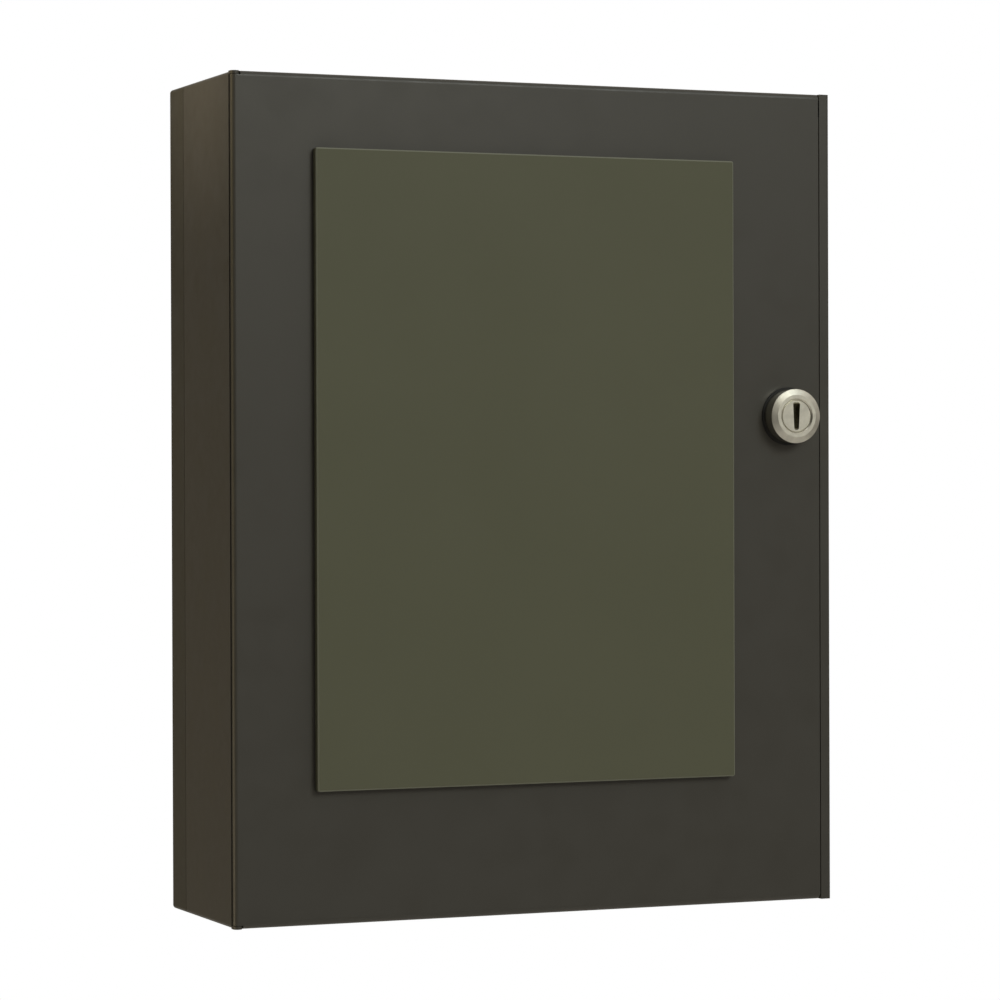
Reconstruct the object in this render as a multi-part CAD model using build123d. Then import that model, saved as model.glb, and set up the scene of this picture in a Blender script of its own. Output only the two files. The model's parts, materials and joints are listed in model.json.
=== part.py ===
from build123d import *
import math
import os

# A small wall-mounted fire alarm control panel, in millimetres.
# The origin is the middle of the back face, on the wall. The front faces -Y, +X is to the right as
# seen from the front, and +Z is up. Depths are Y values: the further from the wall, the more negative.

# ---------------------------------------------------------------- cabinet
WIDTH = 250.0
HEIGHT = 320.0
DEPTH = 76.0                # wall to the front face of the door
HALF_W = WIDTH / 2
HALF_H = HEIGHT / 2
FRONT = -DEPTH

TRAY_T = 1.5                # sheet of the back tray
TRAY_DEPTH = 17.0           # the strip of tray that shows at the side
TRAY_LAP_END = -26.0        # front edge of the joggled lap inside the surround
SHELL_T = 1.2               # sheet of the surround
SHELL_BACK = -17.3          # leaves a thin joint line in front of the tray's shoulder
SHELL_FRONT = -72.4
LAP_GAP = 0.2
CORNER_R = 1.5
TRAY_FACE = -TRAY_T         # the surface inside the tray that everything stands on

POST_LEFT = 120.6           # the narrow front post beside the door's free edge
POST_RETURN_END = -66.0
LIP_DEPTH = 11.8            # how far the top and bottom lips reach into the front opening
LIP_LEFT = -121.5
LIP_RIGHT = 117.0

ENTRY_R = 10.25             # 20 mm cable entries in the top wall
ENTRY_DEPTH = -38.0
OPEN_ENTRIES = (-42.0, 42.0)
BLANKED_ENTRIES = (-84.0, 0.0, 84.0)
GROMMET_BORE_R = 6.0

KNOCKOUT_R = 10.5           # rear cable knockouts
KNOCKOUT_XS = (-72.0, 0.0, 72.0)
KNOCKOUT_Z = 130.0

FIXING_X = 108.0            # wall fixing holes
FIXING_Z = 148.0
FIXING_R = 3.0

SURROUND_SCREW_Y = -22.0    # countersunk screws that hold the surround to the tray
SURROUND_HEAD_R = 3.9
SURROUND_HEAD_H = 1.9
SURROUND_SHANK_R = 2.0
SURROUND_SHANK_LENGTH = 3.0

# ---------------------------------------------------------------- door, hinge and window
DOOR_T = 1.5
DOOR_RIGHT = 120.4
DOOR_BACK = FRONT + DOOR_T
DOOR_RETURN_END = -73.2     # rear edge of the shallow top and bottom returns
DOOR_TOP_BEND_R = 2.0
DOOR_BOTTOM_BEND_R = 2.6
DOOR_FREE_EDGE_R = 0.35
STRIKE_RETURN_END = -70.0   # rear edge of the deeper return on the lock side
STRIKE_RETURN_HALF_H = 145.5
RELIEF_BOTTOM = 151.0       # shallow bend relief in the free edge, near its top
RELIEF_TOP = 157.5
RELIEF_DEPTH = 0.3

HINGE_X = -123.3
HINGE_Y = -74.3
ROLL_R = 1.7                # the door's left edge is rolled round the hinge rod
ROD_R = 0.85
ROD_HALF_H = 159.9
ROD_CLEARANCE = 0.05
ROLL_HALF_H = 158.6         # leaves room for the ears that carry the rod's ends
NOTCH_RIGHT = -121.4

PANE_LEFT = -93.0
PANE_RIGHT = 81.0
PANE_TOP = 132.0
PANE_BOTTOM = -109.5
PANE_T = 3.1
PANE_CHAMFER = 0.5
TAPE_T = 0.4
WINDOW_MARGIN = 8.0         # how far the pane overlaps the hole in the door

# ---------------------------------------------------------------- lock
LOCK_X = 106.3
LOCK_Z = 32.0
LOCK_HEAD_R = 10.75
LOCK_RIM_W = 2.4            # bevel round the head's face, seen from the front
LOCK_RIM_DEPTH = 1.1
LOCK_FRONT = FRONT - 8.0
LOCK_BODY_R = 8.5
LOCK_BODY_END = -60.0
LOCK_SEAL_T = 0.6
PLUG_R = 6.4
PLUG_CLEARANCE = 0.05
KEYWAY_H = 10.8
KEYWAY_W = 3.1
KEYWAY_FOOT_W = 2.0
CAM_REACH = 15.4
CAM_T = 2.0
CAM_FRONT = LOCK_BODY_END + 0.1
CAM_SQUARE = 7.0
CAM_SCREW_R = 1.95
KEEPER_LEFT = 116.6

# ---------------------------------------------------------------- fascia and controls
FASCIA_FRONT = -51.2
FASCIA_BACK = -50.0
FASCIA_LEFT = -116.0
FASCIA_RIGHT = 114.0
FASCIA_HALF_H = 148.0
OVERLAY_T = 0.25
PILLAR_X = 108.0
PILLAR_Z = 128.0

DISPLAY_BOARD_FRONT = -41.6
DISPLAY_LEFT = -100.0
DISPLAY_RIGHT = 38.0
DISPLAY_BOTTOM = 6.0
DISPLAY_TOP = 120.0
BOARD_T = 1.6
LCD_X = -45.0
LCD_Z = 97.0
LCD_W = 78.0
LCD_H = 28.0
BUTTON_Z = 20.0
BUTTON_SIZE = 12.0
BUTTON_HOLE = 12.6
BUTTON_PITCH = 28.0
BUTTON_FIRST_X = -78.0
BUTTON_NAMES = ("sound_alarm_button", "silence_alarm_button", "reset_button", "mute_buzzer_button")
LED_R = 2.45
STATUS_X = 22.0
RED_LEDS = [(STATUS_X, 112.0)] + [(-80.0 + 22.0 * i, 56.0) for i in range(4)]
AMBER_LEDS = [(STATUS_X, 101.0), (STATUS_X, 90.0)] + [(-80.0 + 22.0 * i, 46.0) for i in range(4)]
GREEN_LEDS = [(STATUS_X, 79.0)]
KEY_SWITCH_X = 62.0
KEY_SWITCH_Z = 28.0
BUZZER_X = 62.0
BUZZER_Z = 74.0

# ---------------------------------------------------------------- boards and power
MAIN_BOARD_BACK = -8.0
MAIN_BOARD_FRONT = MAIN_BOARD_BACK - BOARD_T
MAIN_LEFT = -98.0
MAIN_RIGHT = 52.0
MAIN_BOTTOM = 26.0
MAIN_TOP = 141.0
BOARD_INSET = 4.0
TERMINAL_PITCH = 5.08
TERMINAL_WAYS = 8
TERMINAL_LEFTS = (-88.0, -44.0, 0.0)
TERMINAL_BOTTOM = 127.0
TERMINAL_TOP = 139.0
TERMINAL_FRONT = MAIN_BOARD_FRONT - 14.0
FUSE_X = 30.0
FUSE_ZS = (96.0, 86.0, 76.0, 66.0)
FUSE_Y = MAIN_BOARD_FRONT - 6.0
BATTERY_HEADER_X = -80.0
BATTERY_HEADER_BOTTOM = 36.0

RIBBON_X = -27.0
RIBBON_W = 26.0
DISPLAY_HEADER_Z = 34.0
MAIN_HEADER_Z = 62.0
HEADER_H = 7.0

BATTERY_LEFT = -96.0
BATTERY_RIGHT = 82.0
BATTERY_BACK = -2.9
BATTERY_FRONT = -37.4
BATTERY_H = 60.5
LOWER_BATTERY_Z = -152.0
UPPER_BATTERY_Z = -80.0
TAB_X = -86.0
POSITIVE_TAB_Y = -12.0
NEGATIVE_TAB_Y = -28.0
LEAD_R = 1.25
CLAMP_LEFT = -17.0
CLAMP_RIGHT = 3.0
CLAMP_BACK = BATTERY_FRONT - 1.7
CLAMP_TOP = -12.0
CLAMP_FOOT_TOP = 8.0

CORE_LEFT = 58.0
CORE_RIGHT = 101.0
CORE_BOTTOM = 80.0
CORE_TOP = 134.0
CORE_FRONT = -28.0
CORE_BACK = -8.0
CORE_LEG = 8.0
CORE_YOKE = 9.0
CENTRE_LEG_HALF = 5.5
MAINS_LEFT = 60.0
MAINS_BOTTOM = 36.0
MAINS_TOP = 54.0
MAINS_PITCH = 12.0

EARTH_STUD_Z = -100.0
FASCIA_STUD_X = -104.0
DOOR_STUD_X = -100.0
RING_T = 0.8                # crimped ring terminals of the earth lead
RING_MIDDLE = 2.3           # height of a ring terminal's middle above the plate it is bolted to
RING_BARREL_R = 1.9
RING_BARREL_LEFT = 7.5      # from the stud to the end of the crimped barrel

FIT_GAP = 0.05              # radial gap between a screw's shank and its hole


# ---------------------------------------------------------------- helpers
def block(x0, x1, y0, y1, z0, z1):
    """A box between its lowest and its highest corner."""
    return Pos((x0 + x1) / 2, (y0 + y1) / 2, (z0 + z1) / 2) * Box(x1 - x0, y1 - y0, z1 - z0)


def plate(outline, front, back):
    """A flat piece parallel to the wall. The outline is drawn in X and Z."""
    return extrude(Plane.XZ.offset(-back) * outline, amount=back - front)


def rod(radius, front, back, x=0.0, z=0.0):
    """A round bar along Y."""
    return plate(Pos(x, z) * Circle(radius), front, back)


def hexagon(across_flats, front, back, x=0.0, z=0.0):
    """A hexagonal bar along Y, with two flats facing sideways."""
    outline = RegularPolygon(across_flats / math.sqrt(3), 6, rotation=30)
    return plate(Pos(x, z) * outline, front, back)


def upright(radius, low, high, x, y):
    """A round bar along Z."""
    return Pos(x, y, (low + high) / 2) * Cylinder(radius, high - low)


def group(solids):
    """Separate solids that share one node."""
    return Compound(children=list(solids))


def corners(x, z):
    """The four points at plus and minus x and z."""
    return [(sx * x, sz * z) for sx in (-1, 1) for sz in (-1, 1)]


def pan_screw(x, z, seat, shank_r, shank_length, faces_back=False):
    """A cross-recess pan-head screw along Y. Its head faces the front unless faces_back is set."""
    head_r = shank_r * 1.95
    head_h = shank_r * 1.1
    head = Pos(0, 0, head_h / 2) * Cylinder(head_r, head_h)
    head = fillet(head.edges().group_by(Axis.Z)[-1], head_h * 0.45)
    recess = Box(shank_r * 2, shank_r * 0.4, head_h) + Box(shank_r * 0.4, shank_r * 2, head_h)
    head -= Pos(0, 0, head_h) * recess
    shank = Pos(0, 0, -shank_length / 2) * Cylinder(shank_r, shank_length)
    turn = -90 if faces_back else 90
    return Pos(x, seat, z) * Rot(turn, 0, 0) * (head + shank)


def bend_radii(points):
    """The largest radius at each inner corner that leaves the two runs beside it a straight piece."""
    radii = []
    for before, corner, after in zip(points, points[1:], points[2:]):
        arriving = Vector(*corner) - Vector(*before)
        leaving = Vector(*after) - Vector(*corner)
        half_turn = math.radians(arriving.get_angle(leaving)) / 2
        radii.append(0.45 * min(arriving.length, leaving.length) / math.tan(half_turn))
    return radii


def lead(points, radius):
    """A round wire along straight runs joined by tangent arcs."""
    path = FilletPolyline(*points, radius=bend_radii(points))
    return sweep(Plane(origin=path @ 0, z_dir=path % 0) * Circle(radius), path=path)


# ---------------------------------------------------------------- cabinet shell
def surround_screw_places():
    """Middle of each countersunk screw: side of the cabinet (+1 top, -1 bottom) and X."""
    return [(side, x) for side in (1, -1) for x in (-96.0, 96.0)]


def countersunk_screw(side, x, gap=0.0):
    """A flush screw through the top or bottom wall. With a gap it is the shape of its hole."""
    shank_r = SURROUND_SHANK_R + gap
    head = Pos(0, 0, -SURROUND_HEAD_H / 2) * Cone(shank_r, SURROUND_HEAD_R + gap, SURROUND_HEAD_H)
    middle = -SURROUND_HEAD_H - SURROUND_SHANK_LENGTH / 2
    shank = Pos(0, 0, middle) * Cylinder(shank_r, SURROUND_SHANK_LENGTH)
    screw = head + shank
    if not gap:
        screw -= Box(4.0, 0.8, 2.0) + Box(0.8, 4.0, 2.0)
    turn = 0 if side > 0 else 180
    return Pos(x, SURROUND_SCREW_Y, side * HALF_H) * Rot(turn, 0, 0) * screw


def knockout_groove(x):
    """Groove round a rear cable knockout, broken by two webs."""
    ring = Circle(KNOCKOUT_R) - Circle(KNOCKOUT_R - 0.8) - Rectangle(3.0, 3 * KNOCKOUT_R)
    return plate(Pos(x, KNOCKOUT_Z) * ring, -0.9, 1)


def back_tray():
    """Shallow folded tray on the wall. Its walls step inwards to a lap that the surround slides over."""
    outer = plate(RectangleRounded(WIDTH, HEIGHT, CORNER_R), -TRAY_DEPTH, 0)
    outer = chamfer(outer.faces().sort_by(Axis.Y)[-1].edges(), 0.5)
    lap_w = WIDTH - 2 * (SHELL_T + LAP_GAP)
    lap_h = HEIGHT - 2 * (SHELL_T + LAP_GAP)
    lap = plate(RectangleRounded(lap_w, lap_h, 1.0), TRAY_LAP_END, -TRAY_DEPTH + TRAY_T)
    tray = outer + lap
    hollow = Rectangle(WIDTH - 2 * TRAY_T, HEIGHT - 2 * TRAY_T)
    tray -= plate(hollow, -TRAY_DEPTH + TRAY_T, TRAY_FACE)
    tray -= plate(Rectangle(lap_w - 2 * TRAY_T, lap_h - 2 * TRAY_T), TRAY_LAP_END - 1, TRAY_FACE)
    for x, z in corners(FIXING_X, FIXING_Z):
        tray -= rod(FIXING_R, TRAY_FACE - 1, 1, x, z)
    for x in KNOCKOUT_XS:
        tray -= knockout_groove(x)
    for side, x in surround_screw_places():
        tray -= countersunk_screw(side, x, FIT_GAP)
    return tray


def hinge_ear(side):
    """Rounded ear of the top or bottom wall that carries one end of the hinge rod."""
    z0, z1 = sorted((side * (HALF_H - SHELL_T), side * HALF_H))
    ear = upright(ROLL_R, z0, z1, HINGE_X, HINGE_Y)
    ear += block(HINGE_X - ROLL_R, HINGE_X + ROLL_R, HINGE_Y, SHELL_FRONT + 0.1, z0, z1)
    return ear - upright(ROD_R + ROD_CLEARANCE, z0 - 1, z1 + 1, HINGE_X, HINGE_Y)


def surround():
    """Four side walls around the tray's lap, with lips behind the door and a post at its free edge."""
    shell = plate(RectangleRounded(WIDTH, HEIGHT, CORNER_R), SHELL_FRONT, SHELL_BACK)
    shell -= plate(Rectangle(WIDTH - 2 * SHELL_T, HEIGHT - 2 * SHELL_T), SHELL_FRONT - 1, SHELL_BACK + 1)
    inner_z = HALF_H - SHELL_T
    for side in (1, -1):
        z0, z1 = sorted((side * (inner_z - LIP_DEPTH), side * inner_z))
        shell += block(LIP_LEFT, LIP_RIGHT, SHELL_FRONT, SHELL_FRONT + SHELL_T, z0, z1)
    post = block(POST_LEFT, HALF_W, FRONT, SHELL_FRONT, -HALF_H, HALF_H)
    post = fillet(post.edges().filter_by(Axis.Z).group_by(Axis.X)[-1].group_by(Axis.Y)[0], 1.2)
    post -= block(POST_LEFT + SHELL_T, HALF_W - SHELL_T, FRONT + SHELL_T, SHELL_FRONT + 1, -inner_z, inner_z)
    post += block(POST_LEFT, POST_LEFT + SHELL_T, SHELL_FRONT, POST_RETURN_END, -inner_z, inner_z)
    shell += post
    for side in (1, -1):
        shell += hinge_ear(side)
    for x in OPEN_ENTRIES + BLANKED_ENTRIES:
        shell -= upright(ENTRY_R, inner_z - 1, HALF_H + 1, x, ENTRY_DEPTH)
    for side, x in surround_screw_places():
        shell -= countersunk_screw(side, x, FIT_GAP)
    return shell


def cam_keeper():
    """Angle welded inside the right wall. The lock's cam turns behind its inward leg."""
    wall = HALF_W - SHELL_T
    leg_front = CAM_FRONT - 2.3
    leg = block(KEEPER_LEFT, wall, leg_front, leg_front + TRAY_T, LOCK_Z - 15, LOCK_Z + 15)
    leg = fillet(leg.edges().filter_by(Axis.Y).group_by(Axis.X)[0], 3.0)
    return leg + block(wall - TRAY_T, wall, leg_front, -44.0, LOCK_Z - 15, LOCK_Z + 15)


def door_bumpers():
    """Four rubber buttons on the lips that the closed door rests against."""
    bumpers = []
    for x in (-90.0, 90.0):
        for z in (-152.5, 152.5):
            bumper = rod(4.0, DOOR_BACK + 0.1, SHELL_FRONT, x, z)
            bumpers.append(fillet(bumper.edges().group_by(Axis.Y)[0], 0.8))
    return group(bumpers)


def grommet(x, bore_r):
    """Rubber collar snapped into a cable entry. Without a bore it is a blanking plug."""
    wall_top = HALF_H
    wall_bottom = HALF_H - SHELL_T
    body = upright(ENTRY_R - 0.05, wall_bottom - 1.0, wall_top - 0.05, x, ENTRY_DEPTH)
    body -= upright(ENTRY_R + 1, wall_bottom - 1.0, wall_bottom - 0.05, x, ENTRY_DEPTH)
    body += upright(ENTRY_R - 0.05, wall_bottom - 0.1, wall_top, x, ENTRY_DEPTH)
    inner = upright(ENTRY_R + 1.6, wall_bottom - 2.6, wall_bottom - 0.05, x, ENTRY_DEPTH)
    inner = fillet(inner.edges().group_by(Axis.Z)[0], 1.0)
    body += inner
    if bore_r:
        body -= upright(bore_r, wall_bottom - 4, wall_top + 1, x, ENTRY_DEPTH)
    return body


def cable_grommets():
    """Open collars in the entries in use and blanking plugs in the spare ones."""
    return [grommet(x, GROMMET_BORE_R) for x in OPEN_ENTRIES] + [grommet(x, 0) for x in BLANKED_ENTRIES]


# ---------------------------------------------------------------- door
def window_centre():
    return (PANE_LEFT + PANE_RIGHT) / 2, (PANE_TOP + PANE_BOTTOM) / 2


def pane_outline(inset, radius):
    """The window plate's outline, moved inwards by inset."""
    width = PANE_RIGHT - PANE_LEFT - 2 * inset
    height = PANE_TOP - PANE_BOTTOM - 2 * inset
    return Pos(*window_centre()) * RectangleRounded(width, height, radius)


def door_panel():
    """Full-face folded door with a window hole, a rolled hinge edge and returns on its other edges."""
    skin = block(HINGE_X, DOOR_RIGHT, FRONT, DOOR_RETURN_END, -HALF_H, HALF_H)
    front_edges = skin.faces().sort_by(Axis.Y)[0].edges().filter_by(Axis.X).sort_by(Axis.Z)
    skin = fillet(front_edges[0], DOOR_BOTTOM_BEND_R)
    front_edges = skin.faces().sort_by(Axis.Y)[0].edges().filter_by(Axis.X).sort_by(Axis.Z)
    skin = fillet(front_edges[-1], DOOR_TOP_BEND_R)
    lip = HALF_H - DOOR_T
    skin -= block(HINGE_X - 1, DOOR_RIGHT + 1, DOOR_BACK, DOOR_RETURN_END + 1, -lip, lip)
    half = STRIKE_RETURN_HALF_H
    skin += block(DOOR_RIGHT - DOOR_T, DOOR_RIGHT, FRONT + DOOR_T / 2, STRIKE_RETURN_END, -half, half)
    free_edge = skin.faces().sort_by(Axis.Y)[0].edges().filter_by(Axis.Z).sort_by(Axis.X)[-1]
    skin = fillet(free_edge, DOOR_FREE_EDGE_R)
    skin += upright(ROLL_R, -ROLL_HALF_H, ROLL_HALF_H, HINGE_X, HINGE_Y)
    skin -= upright(ROD_R + ROD_CLEARANCE, -HALF_H - 1, HALF_H + 1, HINGE_X, HINGE_Y)
    for side in (1, -1):
        z0, z1 = sorted((side * ROLL_HALF_H, side * (HALF_H + 1)))
        skin -= block(HINGE_X - 3, NOTCH_RIGHT, FRONT - 1, DOOR_RETURN_END + 1, z0, z1)
    relief_left = DOOR_RIGHT - RELIEF_DEPTH
    skin -= block(relief_left, DOOR_RIGHT + 1, FRONT - 1, DOOR_BACK + 1, RELIEF_BOTTOM, RELIEF_TOP)
    skin -= plate(pane_outline(WINDOW_MARGIN, 4.0), FRONT - 1, DOOR_BACK + 1)
    skin -= rod(LOCK_BODY_R + 0.1, FRONT - 1, DOOR_BACK + 1, LOCK_X, LOCK_Z)
    return skin


def window_pane():
    pane = plate(pane_outline(0, 0.8), FRONT - TAPE_T - PANE_T, FRONT - TAPE_T)
    return chamfer(pane.faces().sort_by(Axis.Y)[0].edges(), PANE_CHAMFER)


def pane_tape():
    """Double-sided tape between the window plate and the door, all round the hole."""
    ring = pane_outline(1.5, 1.0) - pane_outline(WINDOW_MARGIN - 0.8, 4.0)
    return plate(ring, FRONT - TAPE_T, FRONT)


def door_earth_stud():
    """Welded stud with its nut and the lead's ring terminal, on the inside of the door."""
    x, z = DOOR_STUD_X, EARTH_STUD_Z
    seat = DOOR_BACK
    stud = rod(2.0, seat, seat + 8.0, x, z)
    ring = ring_terminal(x, z, seat + RING_MIDDLE - 0.4)
    hole = rod(2.0 + FIT_GAP, seat - 1, seat + 9, x, z)
    nut = hexagon(7.0, seat + RING_MIDDLE + 0.45, seat + RING_MIDDLE + 3.45, x, z) - hole
    washer = rod(4.0, seat, seat + RING_MIDDLE - 0.45, x, z) - hole
    return group([stud, washer, ring, nut])


def ring_terminal(x, z, front):
    """Flat ring around a stud with a crimped barrel pointing left."""
    back = front + RING_T
    barrel_length = 2.6
    ring = rod(3.8, front, back, x, z) + block(x - 5.5, x, front, back, z - 1.6, z + 1.6)
    ring -= rod(2.0 + FIT_GAP, front - 1, back + 1, x, z)
    barrel_x = x - RING_BARREL_LEFT + barrel_length / 2
    barrel = Pos(barrel_x, (front + back) / 2, z) * Rot(0, 90, 0) * Cylinder(RING_BARREL_R, barrel_length)
    return ring + barrel


def fascia_earth_stud():
    """Stud, nut and ring terminal on the fascia, at the cabinet's end of the door's earth lead."""
    x, z = FASCIA_STUD_X, EARTH_STUD_Z
    seat = FASCIA_FRONT
    stud = rod(2.0, seat - 8.0, seat, x, z)
    ring = ring_terminal(x, z, seat - RING_MIDDLE - 0.4)
    hole = rod(2.0 + FIT_GAP, seat - 9, seat + 1, x, z)
    washer = rod(4.0, seat - RING_MIDDLE + 0.45, seat, x, z) - hole
    nut = hexagon(7.0, seat - RING_MIDDLE - 3.45, seat - RING_MIDDLE - 0.45, x, z) - hole
    return group([stud, washer, ring, nut])


def door_earth_lead():
    """Short limp lead that crosses the hinge side and hangs in a loop when the door is shut."""
    start_x = FASCIA_STUD_X - RING_BARREL_LEFT
    end_x = DOOR_STUD_X - RING_BARREL_LEFT
    start_y = FASCIA_FRONT - RING_MIDDLE
    end_y = DOOR_BACK + RING_MIDDLE
    z = EARTH_STUD_Z
    route = [
        (start_x, start_y, z),
        (start_x - 5.0, start_y, z),
        (start_x - 6.5, start_y - 4.0, z - 12.0),
        (start_x - 6.5, (start_y + end_y) / 2, z - 20.0),
        (start_x - 5.5, end_y + 3.0, z - 12.0),
        (end_x - 6.0, end_y, z),
        (end_x, end_y, z),
    ]
    return lead(route, LEAD_R)


# ---------------------------------------------------------------- lock
def lock_housing():
    """Nickel-plated barrel with a round head, flats along its body and a bore for the plug."""
    head = rod(LOCK_HEAD_R, LOCK_FRONT, FRONT - LOCK_SEAL_T, LOCK_X, LOCK_Z)
    rim = head.edges().group_by(Axis.Y)[0]
    head = chamfer(rim, LOCK_RIM_W, LOCK_RIM_DEPTH, reference=head.faces().sort_by(Axis.Y)[0])
    head = fillet(head.edges().filter_by(GeomType.CIRCLE).group_by(Axis.Y)[1], 0.4)
    body = rod(LOCK_BODY_R, FRONT - LOCK_SEAL_T - 0.1, LOCK_BODY_END, LOCK_X, LOCK_Z)
    flats = block(LOCK_X - 7.8, LOCK_X + 7.8, FRONT - 2, LOCK_BODY_END + 1, LOCK_Z - 20, LOCK_Z + 20)
    bore = rod(PLUG_R + PLUG_CLEARANCE, LOCK_FRONT - 1, LOCK_BODY_END + 1, LOCK_X, LOCK_Z)
    housing = head + (body & flats) - bore
    mouth = housing.edges().filter_by(GeomType.CIRCLE).group_by(Axis.Y)[0].sort_by(SortBy.RADIUS)[0]
    return chamfer(mouth, 0.5)


def lock_seal():
    """Thin rubber washer under the lock's head."""
    ring = Circle(LOCK_HEAD_R + 0.7) - Circle(LOCK_BODY_R + 0.1)
    return plate(Pos(LOCK_X, LOCK_Z) * ring, FRONT - LOCK_SEAL_T, FRONT)


def lock_nut():
    nut = hexagon(21.0, DOOR_BACK, DOOR_BACK + 4.0, LOCK_X, LOCK_Z)
    return nut - rod(LOCK_BODY_R + FIT_GAP, DOOR_BACK - 1, DOOR_BACK + 5, LOCK_X, LOCK_Z)


def keyway_outline():
    """Upright key slot that narrows towards its foot."""
    top = KEYWAY_H / 2
    foot = KEYWAY_FOOT_W / 2
    slot = Polygon((-foot, -top), (foot, -top), (KEYWAY_W / 2, top), (-KEYWAY_W / 2, top), align=None)
    return Pos(LOCK_X, LOCK_Z) * fillet(slot.vertices(), 0.8)


def lock_plug():
    """Turning plug with the key slot in front and a square for the cam behind."""
    face = LOCK_FRONT + 0.4
    plug = rod(PLUG_R, face, LOCK_BODY_END, LOCK_X, LOCK_Z)
    plug = chamfer(plug.edges().group_by(Axis.Y)[0], 0.3)
    square = Pos(LOCK_X, LOCK_Z) * Rectangle(CAM_SQUARE, CAM_SQUARE)
    plug += plate(square, LOCK_BODY_END - 0.1, CAM_FRONT + CAM_T - 0.1)
    plug -= plate(keyway_outline(), face - 1, face + 15.0)
    plug -= rod(CAM_SCREW_R + FIT_GAP, LOCK_BODY_END - 5.0, LOCK_BODY_END + 5.0, LOCK_X, LOCK_Z)
    return plug


def lock_cam():
    """Flat steel tongue. It hangs down when unlocked, and turns to point right behind the keeper."""
    hub = Circle(8.0)
    tongue = Pos(0, -CAM_REACH / 2) * Rectangle(11.0, CAM_REACH)
    outline = hub + tongue
    outline = fillet(outline.vertices().group_by(Axis.Y)[0], 2.0)
    hole = Rectangle(CAM_SQUARE + 0.1, CAM_SQUARE + 0.1)
    return plate(Pos(LOCK_X, LOCK_Z) * (outline - hole), CAM_FRONT, CAM_FRONT + CAM_T)


def lock_cam_screw():
    """Screw and washer that hold the cam on the plug, from behind."""
    back = CAM_FRONT + CAM_T
    washer = rod(5.0, back, back + 0.8, LOCK_X, LOCK_Z)
    washer -= rod(CAM_SCREW_R + FIT_GAP, back - 1, back + 2, LOCK_X, LOCK_Z)
    screw = pan_screw(LOCK_X, LOCK_Z, back + 0.8, CAM_SCREW_R, 6.5, faces_back=True)
    return group([washer, screw])


# ---------------------------------------------------------------- fascia
def button_places():
    return [(BUTTON_FIRST_X + i * BUTTON_PITCH, BUTTON_Z) for i in range(len(BUTTON_NAMES))]


def control_holes():
    """Outlines of the holes that the fascia plate and its overlay share."""
    holes = Pos(LCD_X, LCD_Z) * RectangleRounded(LCD_W, LCD_H, 1.5)
    for x, z in button_places():
        holes += Pos(x, z) * RectangleRounded(BUTTON_HOLE, BUTTON_HOLE, 1.0)
    for x, z in RED_LEDS + AMBER_LEDS + GREEN_LEDS:
        holes += Pos(x, z) * Circle(LED_R + 0.15)
    holes += Pos(KEY_SWITCH_X, KEY_SWITCH_Z) * Circle(7.6)
    holes += Pos(BUZZER_X, BUZZER_Z) * Circle(1.2)
    for i in range(6):
        angle = math.radians(60 * i)
        holes += Pos(BUZZER_X + 4.5 * math.cos(angle), BUZZER_Z + 4.5 * math.sin(angle)) * Circle(1.2)
    return holes


def vent_slots():
    """Two columns of ventilation slots in front of the batteries."""
    slots = Sketch()
    for x in (-48.0, 36.0):
        for i in range(7):
            slots += Pos(x, -46.0 - 9.0 * i) * SlotOverall(58.0, 3.2)
    return slots


def fascia_plate():
    width = FASCIA_RIGHT - FASCIA_LEFT
    middle = (FASCIA_RIGHT + FASCIA_LEFT) / 2
    outline = Pos(middle, 0) * RectangleRounded(width, 2 * FASCIA_HALF_H, 3.0)
    fascia = plate(outline - control_holes() - vent_slots(), FASCIA_FRONT, FASCIA_BACK)
    for x, z in corners(PILLAR_X, PILLAR_Z):
        fascia -= rod(2.2, FASCIA_FRONT - 1, FASCIA_BACK + 1, x, z)
    stiffener = 7.0
    fascia += block(FASCIA_LEFT, FASCIA_LEFT + 1.2, FASCIA_FRONT + 0.6, FASCIA_BACK + stiffener, -145, 145)
    fascia += block(FASCIA_RIGHT - 1.2, FASCIA_RIGHT, FASCIA_FRONT + 0.6, FASCIA_BACK + stiffener, -145, 145)
    return fascia


def fascia_overlay():
    """Printed polycarbonate film around the controls."""
    outline = Pos(-6, 63) * RectangleRounded(196, 142, 3.0)
    return plate(outline - control_holes(), FASCIA_FRONT - OVERLAY_T, FASCIA_FRONT)


def fascia_pillar(x, z):
    pillar = hexagon(8.0, FASCIA_BACK, TRAY_FACE, x, z)
    return pillar - rod(2.0 + FIT_GAP, FASCIA_BACK - 1, FASCIA_BACK + 12, x, z)


def lcd_module():
    """Metal-framed display on the display board."""
    frame = block(LCD_X - 46, LCD_X + 46, FASCIA_BACK + 0.2, DISPLAY_BOARD_FRONT, LCD_Z - 20, LCD_Z + 20)
    frame = fillet(frame.edges().filter_by(Axis.Y), 1.5)
    pocket = Pos(LCD_X, LCD_Z) * Rectangle(LCD_W - 2, LCD_H - 2)
    return frame - plate(pocket, FASCIA_BACK, FASCIA_BACK + 3.0)


def lcd_glass():
    pocket = Pos(LCD_X, LCD_Z) * Rectangle(LCD_W - 2.1, LCD_H - 2.1)
    return plate(pocket, FASCIA_BACK + 1.2, FASCIA_BACK + 3.0)


def led(x, z):
    """Round indicator on a spacer, its dome just proud of the fascia."""
    lens = rod(LED_R, FASCIA_FRONT - 1.4, -44.0, x, z)
    lens = fillet(lens.edges().group_by(Axis.Y)[0], 1.6)
    return lens + rod(LED_R + 0.5, -45.0, DISPLAY_BOARD_FRONT, x, z)


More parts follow.
